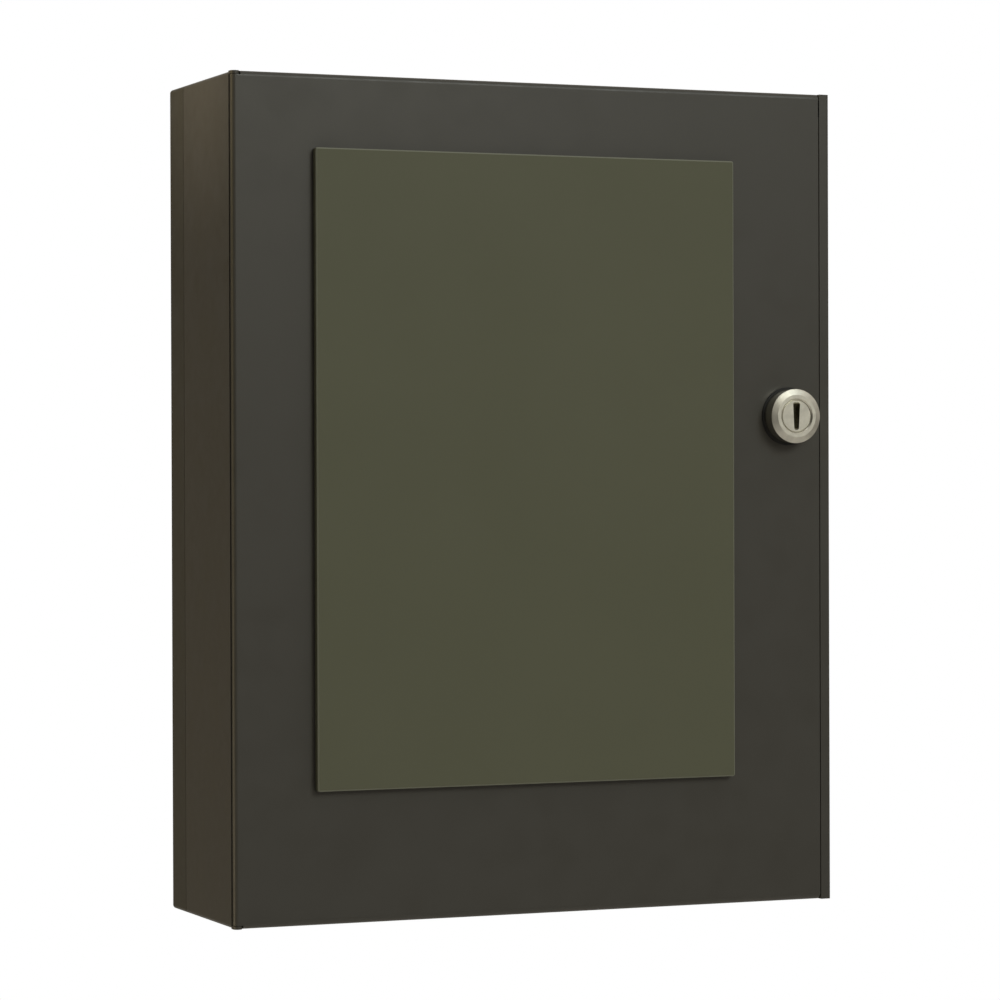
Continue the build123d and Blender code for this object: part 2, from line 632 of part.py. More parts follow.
def push_button(x, z):
    """Square key cap with a retaining flange behind the fascia and a stem over its switch."""
    half = BUTTON_SIZE / 2
    cap = block(x - half, x + half, FASCIA_FRONT - 4.0, FASCIA_BACK + 0.3, z - half, z + half)
    cap = fillet(cap.edges().filter_by(Axis.Y), 0.8)
    cap = fillet(cap.faces().sort_by(Axis.Y)[0].edges(), 0.6)
    dish = Pos(x, FASCIA_FRONT - 4.0 - 39.6, z) * Sphere(40.0)
    flange = block(x - 7.3, x + 7.3, FASCIA_BACK + 0.2, FASCIA_BACK + 1.4, z - 7.3, z + 7.3)
    stem = block(x - 2.5, x + 2.5, FASCIA_BACK + 1.3, -46.2, z - 2.5, z + 2.5)
    return cap - dish + flange + stem


def button_switch(x, z):
    body = block(x - 3, x + 3, -44.1, DISPLAY_BOARD_FRONT, z - 3, z + 3)
    return body + rod(1.7, -45.1, -44.0, x, z)


def buzzer():
    body = rod(11.0, FASCIA_BACK, -41.0, BUZZER_X, BUZZER_Z)
    body = fillet(body.edges().group_by(Axis.Y)[-1], 0.8)
    return body - rod(7.0, FASCIA_BACK - 1, FASCIA_BACK + 2.0, BUZZER_X, BUZZER_Z)


def key_switch_barrel():
    """Barrel and nut of the switch that enables the controls."""
    seat = FASCIA_FRONT - OVERLAY_T
    head = rod(9.0, seat - 2.6, seat, KEY_SWITCH_X, KEY_SWITCH_Z)
    head = fillet(head.edges().group_by(Axis.Y)[0], 0.8)
    body = rod(7.5, seat - 0.1, -34.0, KEY_SWITCH_X, KEY_SWITCH_Z)
    bore = rod(5.0 + PLUG_CLEARANCE, seat - 4, -35.0, KEY_SWITCH_X, KEY_SWITCH_Z)
    nut = hexagon(19.0, FASCIA_BACK, FASCIA_BACK + 3.0, KEY_SWITCH_X, KEY_SWITCH_Z)
    nut -= rod(7.5 + FIT_GAP, FASCIA_BACK - 1, FASCIA_BACK + 4, KEY_SWITCH_X, KEY_SWITCH_Z)
    return group([head + body - bore, nut])


def key_switch_plug():
    seat = FASCIA_FRONT - OVERLAY_T
    plug = rod(5.0, seat - 3.0, -36.0, KEY_SWITCH_X, KEY_SWITCH_Z)
    plug = chamfer(plug.edges().group_by(Axis.Y)[0], 0.3)
    slot = Pos(KEY_SWITCH_X, KEY_SWITCH_Z) * RectangleRounded(2.0, 7.4, 0.6)
    return plug - plate(slot, seat - 4, seat + 8)


# ---------------------------------------------------------------- display board
def board_screw_places(left, right, bottom, top):
    xs = (left + BOARD_INSET, right - BOARD_INSET)
    zs = (bottom + BOARD_INSET, top - BOARD_INSET)
    return [(x, z) for x in xs for z in zs]


def circuit_board(left, right, bottom, top, front):
    board = block(left, right, front, front + BOARD_T, bottom, top)
    board = fillet(board.edges().filter_by(Axis.Y), 1.5)
    for x, z in board_screw_places(left, right, bottom, top):
        board -= rod(1.6, front - 1, front + BOARD_T + 1, x, z)
    return board


def display_board():
    return circuit_board(DISPLAY_LEFT, DISPLAY_RIGHT, DISPLAY_BOTTOM, DISPLAY_TOP, DISPLAY_BOARD_FRONT)


def display_spacer(x, z):
    spacer = hexagon(5.5, FASCIA_BACK, DISPLAY_BOARD_FRONT, x, z)
    return spacer - rod(1.45 + FIT_GAP, DISPLAY_BOARD_FRONT - 6, DISPLAY_BOARD_FRONT + 1, x, z)


def header_block(x, z, front, back):
    """Boxed plug of the ribbon cable."""
    half = RIBBON_W / 2 + 3
    body = block(x - half, x + half, front, back, z - 3, z + 3)
    return fillet(body.edges().filter_by(Axis.Y), 0.8)


def ribbon_headers():
    display_back = DISPLAY_BOARD_FRONT + BOARD_T
    return group([
        header_block(RIBBON_X, DISPLAY_HEADER_Z, display_back, display_back + HEADER_H),
        header_block(RIBBON_X, MAIN_HEADER_Z, MAIN_BOARD_FRONT - HEADER_H, MAIN_BOARD_FRONT),
    ])


def ribbon_cable():
    """Flat cable that folds from the display board's plug up to the main board's plug."""
    start_y = DISPLAY_BOARD_FRONT + BOARD_T + HEADER_H
    end_y = MAIN_BOARD_FRONT - HEADER_H
    middle_y = (start_y + end_y) / 2
    route = [
        (RIBBON_X, start_y, DISPLAY_HEADER_Z),
        (RIBBON_X, middle_y, DISPLAY_HEADER_Z),
        (RIBBON_X, middle_y, MAIN_HEADER_Z),
        (RIBBON_X, end_y, MAIN_HEADER_Z),
    ]
    path = FilletPolyline(*route, radius=3.0)
    section = Plane(origin=path @ 0, x_dir=(1, 0, 0), z_dir=path % 0) * Rectangle(RIBBON_W, 0.9)
    return sweep(section, path=path)


# ---------------------------------------------------------------- main board
def main_board():
    return circuit_board(MAIN_LEFT, MAIN_RIGHT, MAIN_BOTTOM, MAIN_TOP, MAIN_BOARD_FRONT)


def main_spacer(x, z):
    spacer = rod(3.0, MAIN_BOARD_BACK, TRAY_FACE, x, z)
    return spacer - rod(1.45 + FIT_GAP, MAIN_BOARD_BACK - 1, MAIN_BOARD_BACK + 5.5, x, z)


def way_centres(left):
    return [left + 0.6 + TERMINAL_PITCH * (i + 0.5) for i in range(TERMINAL_WAYS)]


def terminal_block(left):
    """Row of screw terminals: wires enter from above, screws are reached from the front."""
    length = TERMINAL_PITCH * TERMINAL_WAYS + 1.2
    body = block(left, left + length, TERMINAL_FRONT, MAIN_BOARD_FRONT, TERMINAL_BOTTOM, TERMINAL_TOP)
    slope = body.edges().filter_by(Axis.X).group_by(Axis.Y)[0].group_by(Axis.Z)[-1]
    body = chamfer(slope, 3.0)
    mouth_front = MAIN_BOARD_FRONT - 8.5
    mouth_back = MAIN_BOARD_FRONT - 4.5
    for x in way_centres(left):
        body -= block(x - 1.7, x + 1.7, mouth_front, mouth_back, TERMINAL_TOP - 6, TERMINAL_TOP + 1)
        body -= rod(1.9, TERMINAL_FRONT - 1, TERMINAL_FRONT + 3.5, x, TERMINAL_BOTTOM + 5)
    return body


def board_spacers():
    """Standoffs of the display board on the fascia and of the main board on the tray."""
    display = board_screw_places(DISPLAY_LEFT, DISPLAY_RIGHT, DISPLAY_BOTTOM, DISPLAY_TOP)
    main = board_screw_places(MAIN_LEFT, MAIN_RIGHT, MAIN_BOTTOM, MAIN_TOP)
    return [display_spacer(x, z) for x, z in display] + [main_spacer(x, z) for x, z in main]


def terminal_screw(x):
    z = TERMINAL_BOTTOM + 5
    screw = rod(1.8, TERMINAL_FRONT + 1.2, TERMINAL_FRONT + 3.5, x, z)
    return screw - block(x - 0.3, x + 0.3, TERMINAL_FRONT, TERMINAL_FRONT + 2.0, z - 3, z + 3)


def relay(x):
    body = block(x - 9.5, x + 9.5, MAIN_BOARD_FRONT - 15, MAIN_BOARD_FRONT, 104.0, 119.5)
    return fillet(body.edges().filter_by(Axis.Y) + body.faces().sort_by(Axis.Y)[0].edges(), 0.5)


def capacitor(x):
    can = rod(7.5, MAIN_BOARD_FRONT - 22, MAIN_BOARD_FRONT, x, 112.0)
    can = fillet(can.edges().group_by(Axis.Y)[0], 0.8)
    return can


def heat_sink():
    """Finned extrusion beside the regulators."""
    base_front = MAIN_BOARD_FRONT - 24
    sink = block(-18, 12, base_front, MAIN_BOARD_FRONT, 84, 86.5)
    for i in range(6):
        x = -18 + i * 5.6
        sink += block(x, x + 2.0, base_front, MAIN_BOARD_FRONT, 86, 96)
    return sink


def fuse_along_x(x, z, radius, length):
    return Pos(x, FUSE_Y, z) * Rot(0, 90, 0) * Cylinder(radius, length)


def fuse_tube(z):
    return fuse_along_x(FUSE_X, z, 2.3, 13.0)


def fuse_caps(z):
    """Metal end caps of one glass fuse."""
    return [fuse_along_x(FUSE_X + side * 8.25, z, 2.6, 3.5) for side in (-1, 1)]


def fuse_clips(z):
    """Two sprung clips that hold one fuse."""
    clips = []
    for side in (-1, 1):
        x = FUSE_X + side * 8.25
        clip = block(x - 1.5, x + 1.5, FUSE_Y - 3.2, MAIN_BOARD_FRONT, z - 3.3, z + 3.3)
        clip -= block(x - 2, x + 2, FUSE_Y - 4, FUSE_Y, z - 2.2, z + 2.2)
        clip -= fuse_along_x(x, z, 2.65, 6.0)
        clips.append(clip)
    return clips


def chip(x, z, width, height, thickness):
    front = MAIN_BOARD_FRONT - thickness
    body = block(x - width / 2, x + width / 2, front, MAIN_BOARD_FRONT, z - height / 2, z + height / 2)
    return chamfer(body.faces().sort_by(Axis.Y)[0].edges(), 0.25)


def chips():
    return [
        chip(-68, 70, 14, 14, 1.6),
        chip(-88, 92, 8, 18, 3.2),
        chip(-74, 92, 8, 18, 3.2),
        chip(-60, 92, 8, 18, 3.2),
        chip(-46, 92, 8, 18, 3.2),
        chip(2, 54, 10, 8, 2.4),
    ]


def battery_header():
    """Two-way plug on the main board for the battery leads."""
    left = BATTERY_HEADER_X - 7
    right = BATTERY_HEADER_X + 7
    top = BATTERY_HEADER_BOTTOM + 10
    body = block(left, right, MAIN_BOARD_FRONT - 9, MAIN_BOARD_FRONT, BATTERY_HEADER_BOTTOM, top)
    return fillet(body.edges().filter_by(Axis.Z), 0.8)


# ---------------------------------------------------------------- batteries
def battery(bottom):
    body = block(BATTERY_LEFT, BATTERY_RIGHT, BATTERY_FRONT, BATTERY_BACK, bottom + 0.1, bottom + BATTERY_H)
    body = fillet(body.edges().filter_by(Axis.Z), 2.0)
    lid_line = bottom + BATTERY_H - 9
    middle = Pos((BATTERY_LEFT + BATTERY_RIGHT) / 2, (BATTERY_FRONT + BATTERY_BACK) / 2, lid_line + 0.3)
    width = BATTERY_RIGHT - BATTERY_LEFT
    thickness = BATTERY_BACK - BATTERY_FRONT
    groove = Box(width + 2, thickness + 2, 0.6) - Box(width - 1, thickness - 1, 2.0)
    return body - middle * groove


def battery_tab(bottom, y):
    top = bottom + BATTERY_H
    return block(TAB_X - 2.4, TAB_X + 2.4, y - 0.4, y + 0.4, top, top + 6.3)


def push_on_connector(bottom, y):
    """Insulated right-angle connector over one battery tab. The lead leaves it to the left."""
    top = bottom + BATTERY_H
    body = block(TAB_X - 9, TAB_X + 3.5, y - 2.2, y + 2.2, top + 0.6, top + 8.0)
    body = fillet(body.edges().filter_by(Axis.Y), 1.2)
    return body - block(TAB_X - 2.5, TAB_X + 2.5, y - 0.5, y + 0.5, top - 1, top + 6.4)


def battery_shelf(bottom):
    """Folded angle under one battery, with a low front lip."""
    low = bottom - 1.2
    left = BATTERY_LEFT - 3
    right = BATTERY_RIGHT + 3
    shelf = block(left, right, BATTERY_FRONT - 1.6, TRAY_FACE, low, bottom)
    shelf += block(left, right, BATTERY_FRONT - 1.6, BATTERY_FRONT - 0.4, low, bottom + 7)
    shelf += block(left, right, TRAY_FACE - 1.2, TRAY_FACE, low, bottom + 18)
    return shelf


def battery_clamp():
    """Steel bar down the front of both batteries, folded back to a foot on the tray."""
    bar = block(CLAMP_LEFT, CLAMP_RIGHT, CLAMP_BACK - 1.2, CLAMP_BACK, -146.0, CLAMP_TOP)
    bar += block(CLAMP_LEFT, CLAMP_RIGHT, CLAMP_BACK - 1.2, TRAY_FACE, CLAMP_TOP - 1.2, CLAMP_TOP)
    bar += block(CLAMP_LEFT, CLAMP_RIGHT, TRAY_FACE - 1.2, TRAY_FACE, CLAMP_TOP - 1.2, CLAMP_FOOT_TOP)
    x = (CLAMP_LEFT + CLAMP_RIGHT) / 2
    return bar - rod(2.0 + FIT_GAP, TRAY_FACE - 2, TRAY_FACE + 1, x, CLAMP_FOOT_TOP - 8)


def battery_lead(positive):
    """Lead from one battery's tab up the left side to the main board."""
    start_x = TAB_X - 9
    if positive:
        start_z = UPPER_BATTERY_Z + BATTERY_H + 4.3
        y = POSITIVE_TAB_Y
        end_x = BATTERY_HEADER_X - 3.2
        return lead([
            (start_x, y, start_z),
            (start_x - 9.5, y, start_z),
            (start_x - 9.0, y - 0.5, start_z + 20.0),
            (end_x, MAIN_BOARD_FRONT - 4.5, start_z + 34.0),
            (end_x, MAIN_BOARD_FRONT - 4.5, BATTERY_HEADER_BOTTOM),
        ], LEAD_R)
    start_z = LOWER_BATTERY_Z + BATTERY_H + 4.3
    y = NEGATIVE_TAB_Y
    end_x = BATTERY_HEADER_X + 3.2
    return lead([
        (start_x, y, start_z),
        (start_x - 11.5, y, start_z),
        (start_x - 11.0, y + 0.5, start_z + 24.0),
        (start_x - 11.6, y + 0.2, start_z + 60.0),
        (start_x - 10.5, y + 1.0, start_z + 92.0),
        (end_x, MAIN_BOARD_FRONT - 4.5, start_z + 107.0),
        (end_x, MAIN_BOARD_FRONT - 4.5, BATTERY_HEADER_BOTTOM),
    ], LEAD_R)


def battery_link_lead():
    """Lead that joins the two batteries in series."""
    start_x = TAB_X - 9
    top_z = UPPER_BATTERY_Z + BATTERY_H + 4.3
    low_z = LOWER_BATTERY_Z + BATTERY_H + 4.3
    return lead([
        (start_x, NEGATIVE_TAB_Y, top_z),
        (start_x - 5.6, NEGATIVE_TAB_Y, top_z),
        (start_x - 5.4, NEGATIVE_TAB_Y + 3.0, top_z - 16.0),
        (start_x - 5.8, -20.0, (top_z + low_z) / 2),
        (start_x - 5.4, POSITIVE_TAB_Y - 2.5, low_z + 14.0),
        (start_x - 5.4, POSITIVE_TAB_Y, low_z),
        (start_x, POSITIVE_TAB_Y, low_z),
    ], LEAD_R)


# ---------------------------------------------------------------- mains supply
def transformer_core():
    """Laminated iron core with two windows."""
    core = block(CORE_LEFT, CORE_RIGHT, CORE_FRONT, CORE_BACK, CORE_BOTTOM, CORE_TOP)
    core = chamfer(core.edges().filter_by(Axis.Y), 1.5)
    middle = (CORE_LEFT + CORE_RIGHT) / 2
    windows = (
        (CORE_LEFT + CORE_LEG, middle - CENTRE_LEG_HALF),
        (middle + CENTRE_LEG_HALF, CORE_RIGHT - CORE_LEG),
    )
    for x0, x1 in windows:
        core -= block(x0, x1, CORE_FRONT - 1, CORE_BACK + 1, CORE_BOTTOM + CORE_YOKE, CORE_TOP - CORE_YOKE)
    return core


def transformer_coil():
    """Wound bobbin around the core's middle leg."""
    left = CORE_LEFT + CORE_LEG + 0.3
    right = CORE_RIGHT - CORE_LEG - 0.3
    coil = block(left, right, -34.5, -2.2, CORE_BOTTOM + CORE_YOKE + 0.3, CORE_TOP - CORE_YOKE - 0.3)
    coil = fillet(coil.edges().filter_by(Axis.Z), 3.0)
    middle = (CORE_LEFT + CORE_RIGHT) / 2
    hole = CENTRE_LEG_HALF + 0.3
    return coil - block(middle - hole, middle + hole, CORE_FRONT - 0.3, CORE_BACK + 0.3, 0, 200)


def transformer_foot(side):
    """Angle bracket at one end of the core."""
    edge = CORE_TOP if side > 0 else CORE_BOTTOM
    z0, z1 = sorted((edge, edge + side * 1.2))
    foot = block(CORE_LEFT + 2, CORE_RIGHT - 2, CORE_FRONT, TRAY_FACE, z0, z1)
    z0, z1 = sorted((edge, edge + side * 11.0))
    foot += block(CORE_LEFT + 2, CORE_RIGHT - 2, TRAY_FACE - 1.2, TRAY_FACE, z0, z1)
    x = (CORE_LEFT + CORE_RIGHT) / 2
    return foot - rod(2.0 + FIT_GAP, TRAY_FACE - 2, TRAY_FACE + 1, x, edge + side * 6.5)


def mains_terminal():
    """Three-way mains terminal on the tray."""
    body = block(MAINS_LEFT, MAINS_LEFT + 3 * MAINS_PITCH + 2, -22.0, TRAY_FACE, MAINS_BOTTOM, MAINS_TOP)
    body = fillet(body.faces().sort_by(Axis.Y)[0].edges().filter_by(Axis.X), 3.0)
    for i in range(3):
        x = MAINS_LEFT + 1 + MAINS_PITCH * (i + 0.5)
        body -= rod(2.8, -23, -17.0, x, (MAINS_BOTTOM + MAINS_TOP) / 2)
        body -= block(x - 2.5, x + 2.5, -13.0, -8.0, MAINS_BOTTOM - 1, MAINS_BOTTOM + 5)
    return body


def mains_leads():
    """Live and neutral leads from the mains terminal to the transformer."""
    leads = []
    for i in range(2):
        x = MAINS_LEFT + 1 + MAINS_PITCH * (i + 0.5)
        leads.append(lead([
            (x, -12.0, MAINS_TOP),
            (x, -12.0, MAINS_TOP + 7),
            (x + 4.0, -31.0, MAINS_TOP + 19),
            (x + 4.0, -31.0, CORE_BOTTOM + CORE_YOKE + 0.3),
        ], LEAD_R))
    return group(leads)


# ---------------------------------------------------------------- everything together
def fastener_groups():
    m3 = [pan_screw(x, z, MAIN_BOARD_FRONT, 1.45, 6.5)
          for x, z in board_screw_places(MAIN_LEFT, MAIN_RIGHT, MAIN_BOTTOM, MAIN_TOP)]
    m3 += [pan_screw(x, z, DISPLAY_BOARD_FRONT + BOARD_T, 1.45, 6.5, faces_back=True)
           for x, z in board_screw_places(DISPLAY_LEFT, DISPLAY_RIGHT, DISPLAY_BOTTOM, DISPLAY_TOP)]
    fascia = [pan_screw(x, z, FASCIA_FRONT, 2.0, 10.0) for x, z in corners(PILLAR_X, PILLAR_Z)]
    clamp_x = (CLAMP_LEFT + CLAMP_RIGHT) / 2
    core_x = (CORE_LEFT + CORE_RIGHT) / 2
    fixing = [(clamp_x, CLAMP_FOOT_TOP - 8), (core_x, CORE_TOP + 6.5), (core_x, CORE_BOTTOM - 6.5)]
    tray = [pan_screw(x, z, TRAY_FACE - 1.2, 2.0, 1.2) for x, z in fixing]
    return {
        "inner_screws": group(m3 + fascia + tray),
        "surround_screws": group(countersunk_screw(side, x) for side, x in surround_screw_places()),
    }


def all_nodes():
    bottoms = (LOWER_BATTERY_Z, UPPER_BATTERY_Z)
    tab_ys = (POSITIVE_TAB_Y, NEGATIVE_TAB_Y)
    connectors = [push_on_connector(bottom, y) for bottom in bottoms for y in tab_ys]
    nodes = {
        "back_tray": back_tray(),
        "surround": surround(),
        "cam_keeper": cam_keeper(),
        "door_bumpers": door_bumpers(),
        "cable_grommets": group(cable_grommets()),
        "hinge_rod": upright(ROD_R, -ROD_HALF_H, ROD_HALF_H, HINGE_X, HINGE_Y),
        "door_panel": door_panel(),
        "window_pane": window_pane(),
        "pane_tape": pane_tape(),
        "door_earth_stud": door_earth_stud(),
        "fascia_earth_stud": fascia_earth_stud(),
        "door_earth_lead": door_earth_lead(),
        "lock_housing": lock_housing(),
        "lock_seal": lock_seal(),
        "lock_nut": lock_nut(),
        "lock_plug": lock_plug(),
        "lock_cam": lock_cam(),
        "lock_cam_screw": lock_cam_screw(),
        "fascia_plate": fascia_plate(),
        "fascia_overlay": fascia_overlay(),
        "fascia_pillars": group(fascia_pillar(x, z) for x, z in corners(PILLAR_X, PILLAR_Z)),
        "board_spacers": group(board_spacers()),
        "lcd_module": lcd_module(),
        "lcd_glass": lcd_glass(),
        "red_leds": group(led(x, z) for x, z in RED_LEDS),
        "amber_leds": group(led(x, z) for x, z in AMBER_LEDS),
        "green_led": group(led(x, z) for x, z in GREEN_LEDS),
        "buzzer": buzzer(),
        "key_switch_barrel": key_switch_barrel(),
        "key_switch_plug": key_switch_plug(),
        "display_board": display_board(),
        "ribbon_headers": ribbon_headers(),
        "ribbon_cable": ribbon_cable(),
        "main_board": main_board(),
        "field_terminals": group(terminal_block(left) for left in TERMINAL_LEFTS),
        "terminal_screws": group(terminal_screw(x) for left in TERMINAL_LEFTS for x in way_centres(left)),
        "capacitors": group(capacitor(x) for x in (-12.0, 6.0, 24.0)),
        "heat_sink": heat_sink(),
        "fuse_tubes": group(fuse_tube(z) for z in FUSE_ZS),
        "fuse_clips": group(piece for z in FUSE_ZS for piece in fuse_caps(z) + fuse_clips(z)),
        "relays": group(relay(x) for x in (-78.0, -56.0, -34.0)),
        "chips_and_switches": group(chips() + [button_switch(x, z) for x, z in button_places()]),
        "batteries": group(battery(bottom) for bottom in bottoms),
        "battery_tabs": group(battery_tab(bottom, y) for bottom in bottoms for y in tab_ys),
        "battery_connectors": group([battery_header()] + connectors),
        "battery_brackets": group([battery_shelf(bottom) for bottom in bottoms] + [battery_clamp()]),
        "positive_lead": battery_lead(True),
        "negative_leads": group([battery_lead(False), battery_link_lead()]),
        "transformer_core": group([transformer_core(), transformer_foot(1), transformer_foot(-1)]),
        "transformer_coil": transformer_coil(),
        "mains_terminal": mains_terminal(),
        "mains_leads": mains_leads(),
    }
    for name, (x, z) in zip(BUTTON_NAMES, button_places()):
        nodes[name] = push_button(x, z)
    nodes.update(fastener_groups())
    return nodes


os.makedirs("parts", exist_ok=True)
for node_name, shape in all_nodes().items():
    export_step(shape, f"parts/{node_name}.step")
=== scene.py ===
import bmesh
import bpy
import json
import math
import random
from mathutils import Matrix, Vector


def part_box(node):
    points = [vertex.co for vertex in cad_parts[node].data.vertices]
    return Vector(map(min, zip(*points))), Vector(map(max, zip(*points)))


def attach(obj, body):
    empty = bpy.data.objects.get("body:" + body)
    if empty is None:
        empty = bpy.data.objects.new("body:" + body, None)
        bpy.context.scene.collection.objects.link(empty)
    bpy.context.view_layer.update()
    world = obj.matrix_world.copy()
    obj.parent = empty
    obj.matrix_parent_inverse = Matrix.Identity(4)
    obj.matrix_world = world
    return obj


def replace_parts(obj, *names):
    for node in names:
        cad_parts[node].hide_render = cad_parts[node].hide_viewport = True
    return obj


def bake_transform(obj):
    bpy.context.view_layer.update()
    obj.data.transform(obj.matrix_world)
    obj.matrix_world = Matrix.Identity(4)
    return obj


# A small wall-mounted fire alarm control panel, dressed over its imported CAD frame.
# Metres throughout: +X right, +Y into the wall, +Z up, and the door faces -Y.

MM = 0.001

# ---------------------------------------------------------------- view, light and finish
CAMERA_PLACE = Vector((-0.5566, -1.3680, 0.0076))
CAMERA_FORWARD = Vector((0.38514, 0.92284, -0.00578))
CAMERA_UP = Vector((0.00524, 0.00408, 0.99998))
LENS_MM = 131.5
SENSOR_MM = 36.0
FLOOR_Z = -0.60
FLOOR_RADIUS = 2.6
SPOT_RADIUS = 0.05
SOFTBOX_SPREAD = 100
ROOM_STRENGTH = 0.66
ROOM_LEFT = (0.03, 0.025, 0.02, 1)
ROOM_BOTTOM = (0.20, 0.182, 0.155, 1)
ROOM_TOP = (1.0, 0.94, 0.86, 1)
WHITE = (1, 1, 1, 1)
NICKEL_FACE_ROUGHNESS = 0.40
NICKEL_SIDE_ROUGHNESS = 0.13
PAINT_ROUGHNESS = 0.42
NOISE_ROUGHNESS = 0.55

# ---------------------------------------------------------------- places shared with the CAD model, in mm
LEAD_R = 1.25
RIBBON_W = 26.0
RIBBON_RIBS = 20
CURVE_STEPS = 16
RING_SEGMENTS = 40
FILM_FRONT = -51.45
INK_T = 0.04
MAIN_BOARD_FRONT = -9.6
BATTERY_FRONT = -37.4
BATTERY_BOTTOMS = (-152.0, -80.0)
BUTTON_PLACES = (-78.0, -50.0, -22.0, 6.0)
ZONE_PITCH = 22.0
ZONE_LEFT = -80.0
LCD_COLUMNS = 18
LCD_ROWS = 4
ZONES = [ZONE_LEFT + ZONE_PITCH * i for i in range(4)]
RED_LEDS = [(22.0, 112.0)] + [(x, 56.0) for x in ZONES]
AMBER_LEDS = [(22.0, 101.0), (22.0, 90.0)] + [(x, 46.0) for x in ZONES]
GREEN_LEDS = [(22.0, 79.0)]

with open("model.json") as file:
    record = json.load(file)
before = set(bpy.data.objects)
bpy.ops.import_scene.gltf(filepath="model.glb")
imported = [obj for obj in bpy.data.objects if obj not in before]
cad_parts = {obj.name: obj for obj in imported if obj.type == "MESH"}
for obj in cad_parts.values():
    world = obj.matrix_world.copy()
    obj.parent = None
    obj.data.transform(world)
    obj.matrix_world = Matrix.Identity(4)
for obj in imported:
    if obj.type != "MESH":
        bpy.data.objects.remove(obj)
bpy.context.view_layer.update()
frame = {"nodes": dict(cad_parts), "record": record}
nodes = frame["nodes"]
slot_of = {part["node"]: part["material_slot"] for part in frame["record"]["subparts"]}


# ---------------------------------------------------------------- node helpers
def srgb(red, green, blue):
    """Linear colour from 0 to 255 display values."""
    def linear(value):
        value = value / 255
        return value / 12.92 if value <= 0.04045 else ((value + 0.055) / 1.055) ** 2.4
    return (linear(red), linear(green), linear(blue), 1.0)


CABINET_GREY = srgb(63, 61, 55)
LCD_FIELD = srgb(122, 134, 76)


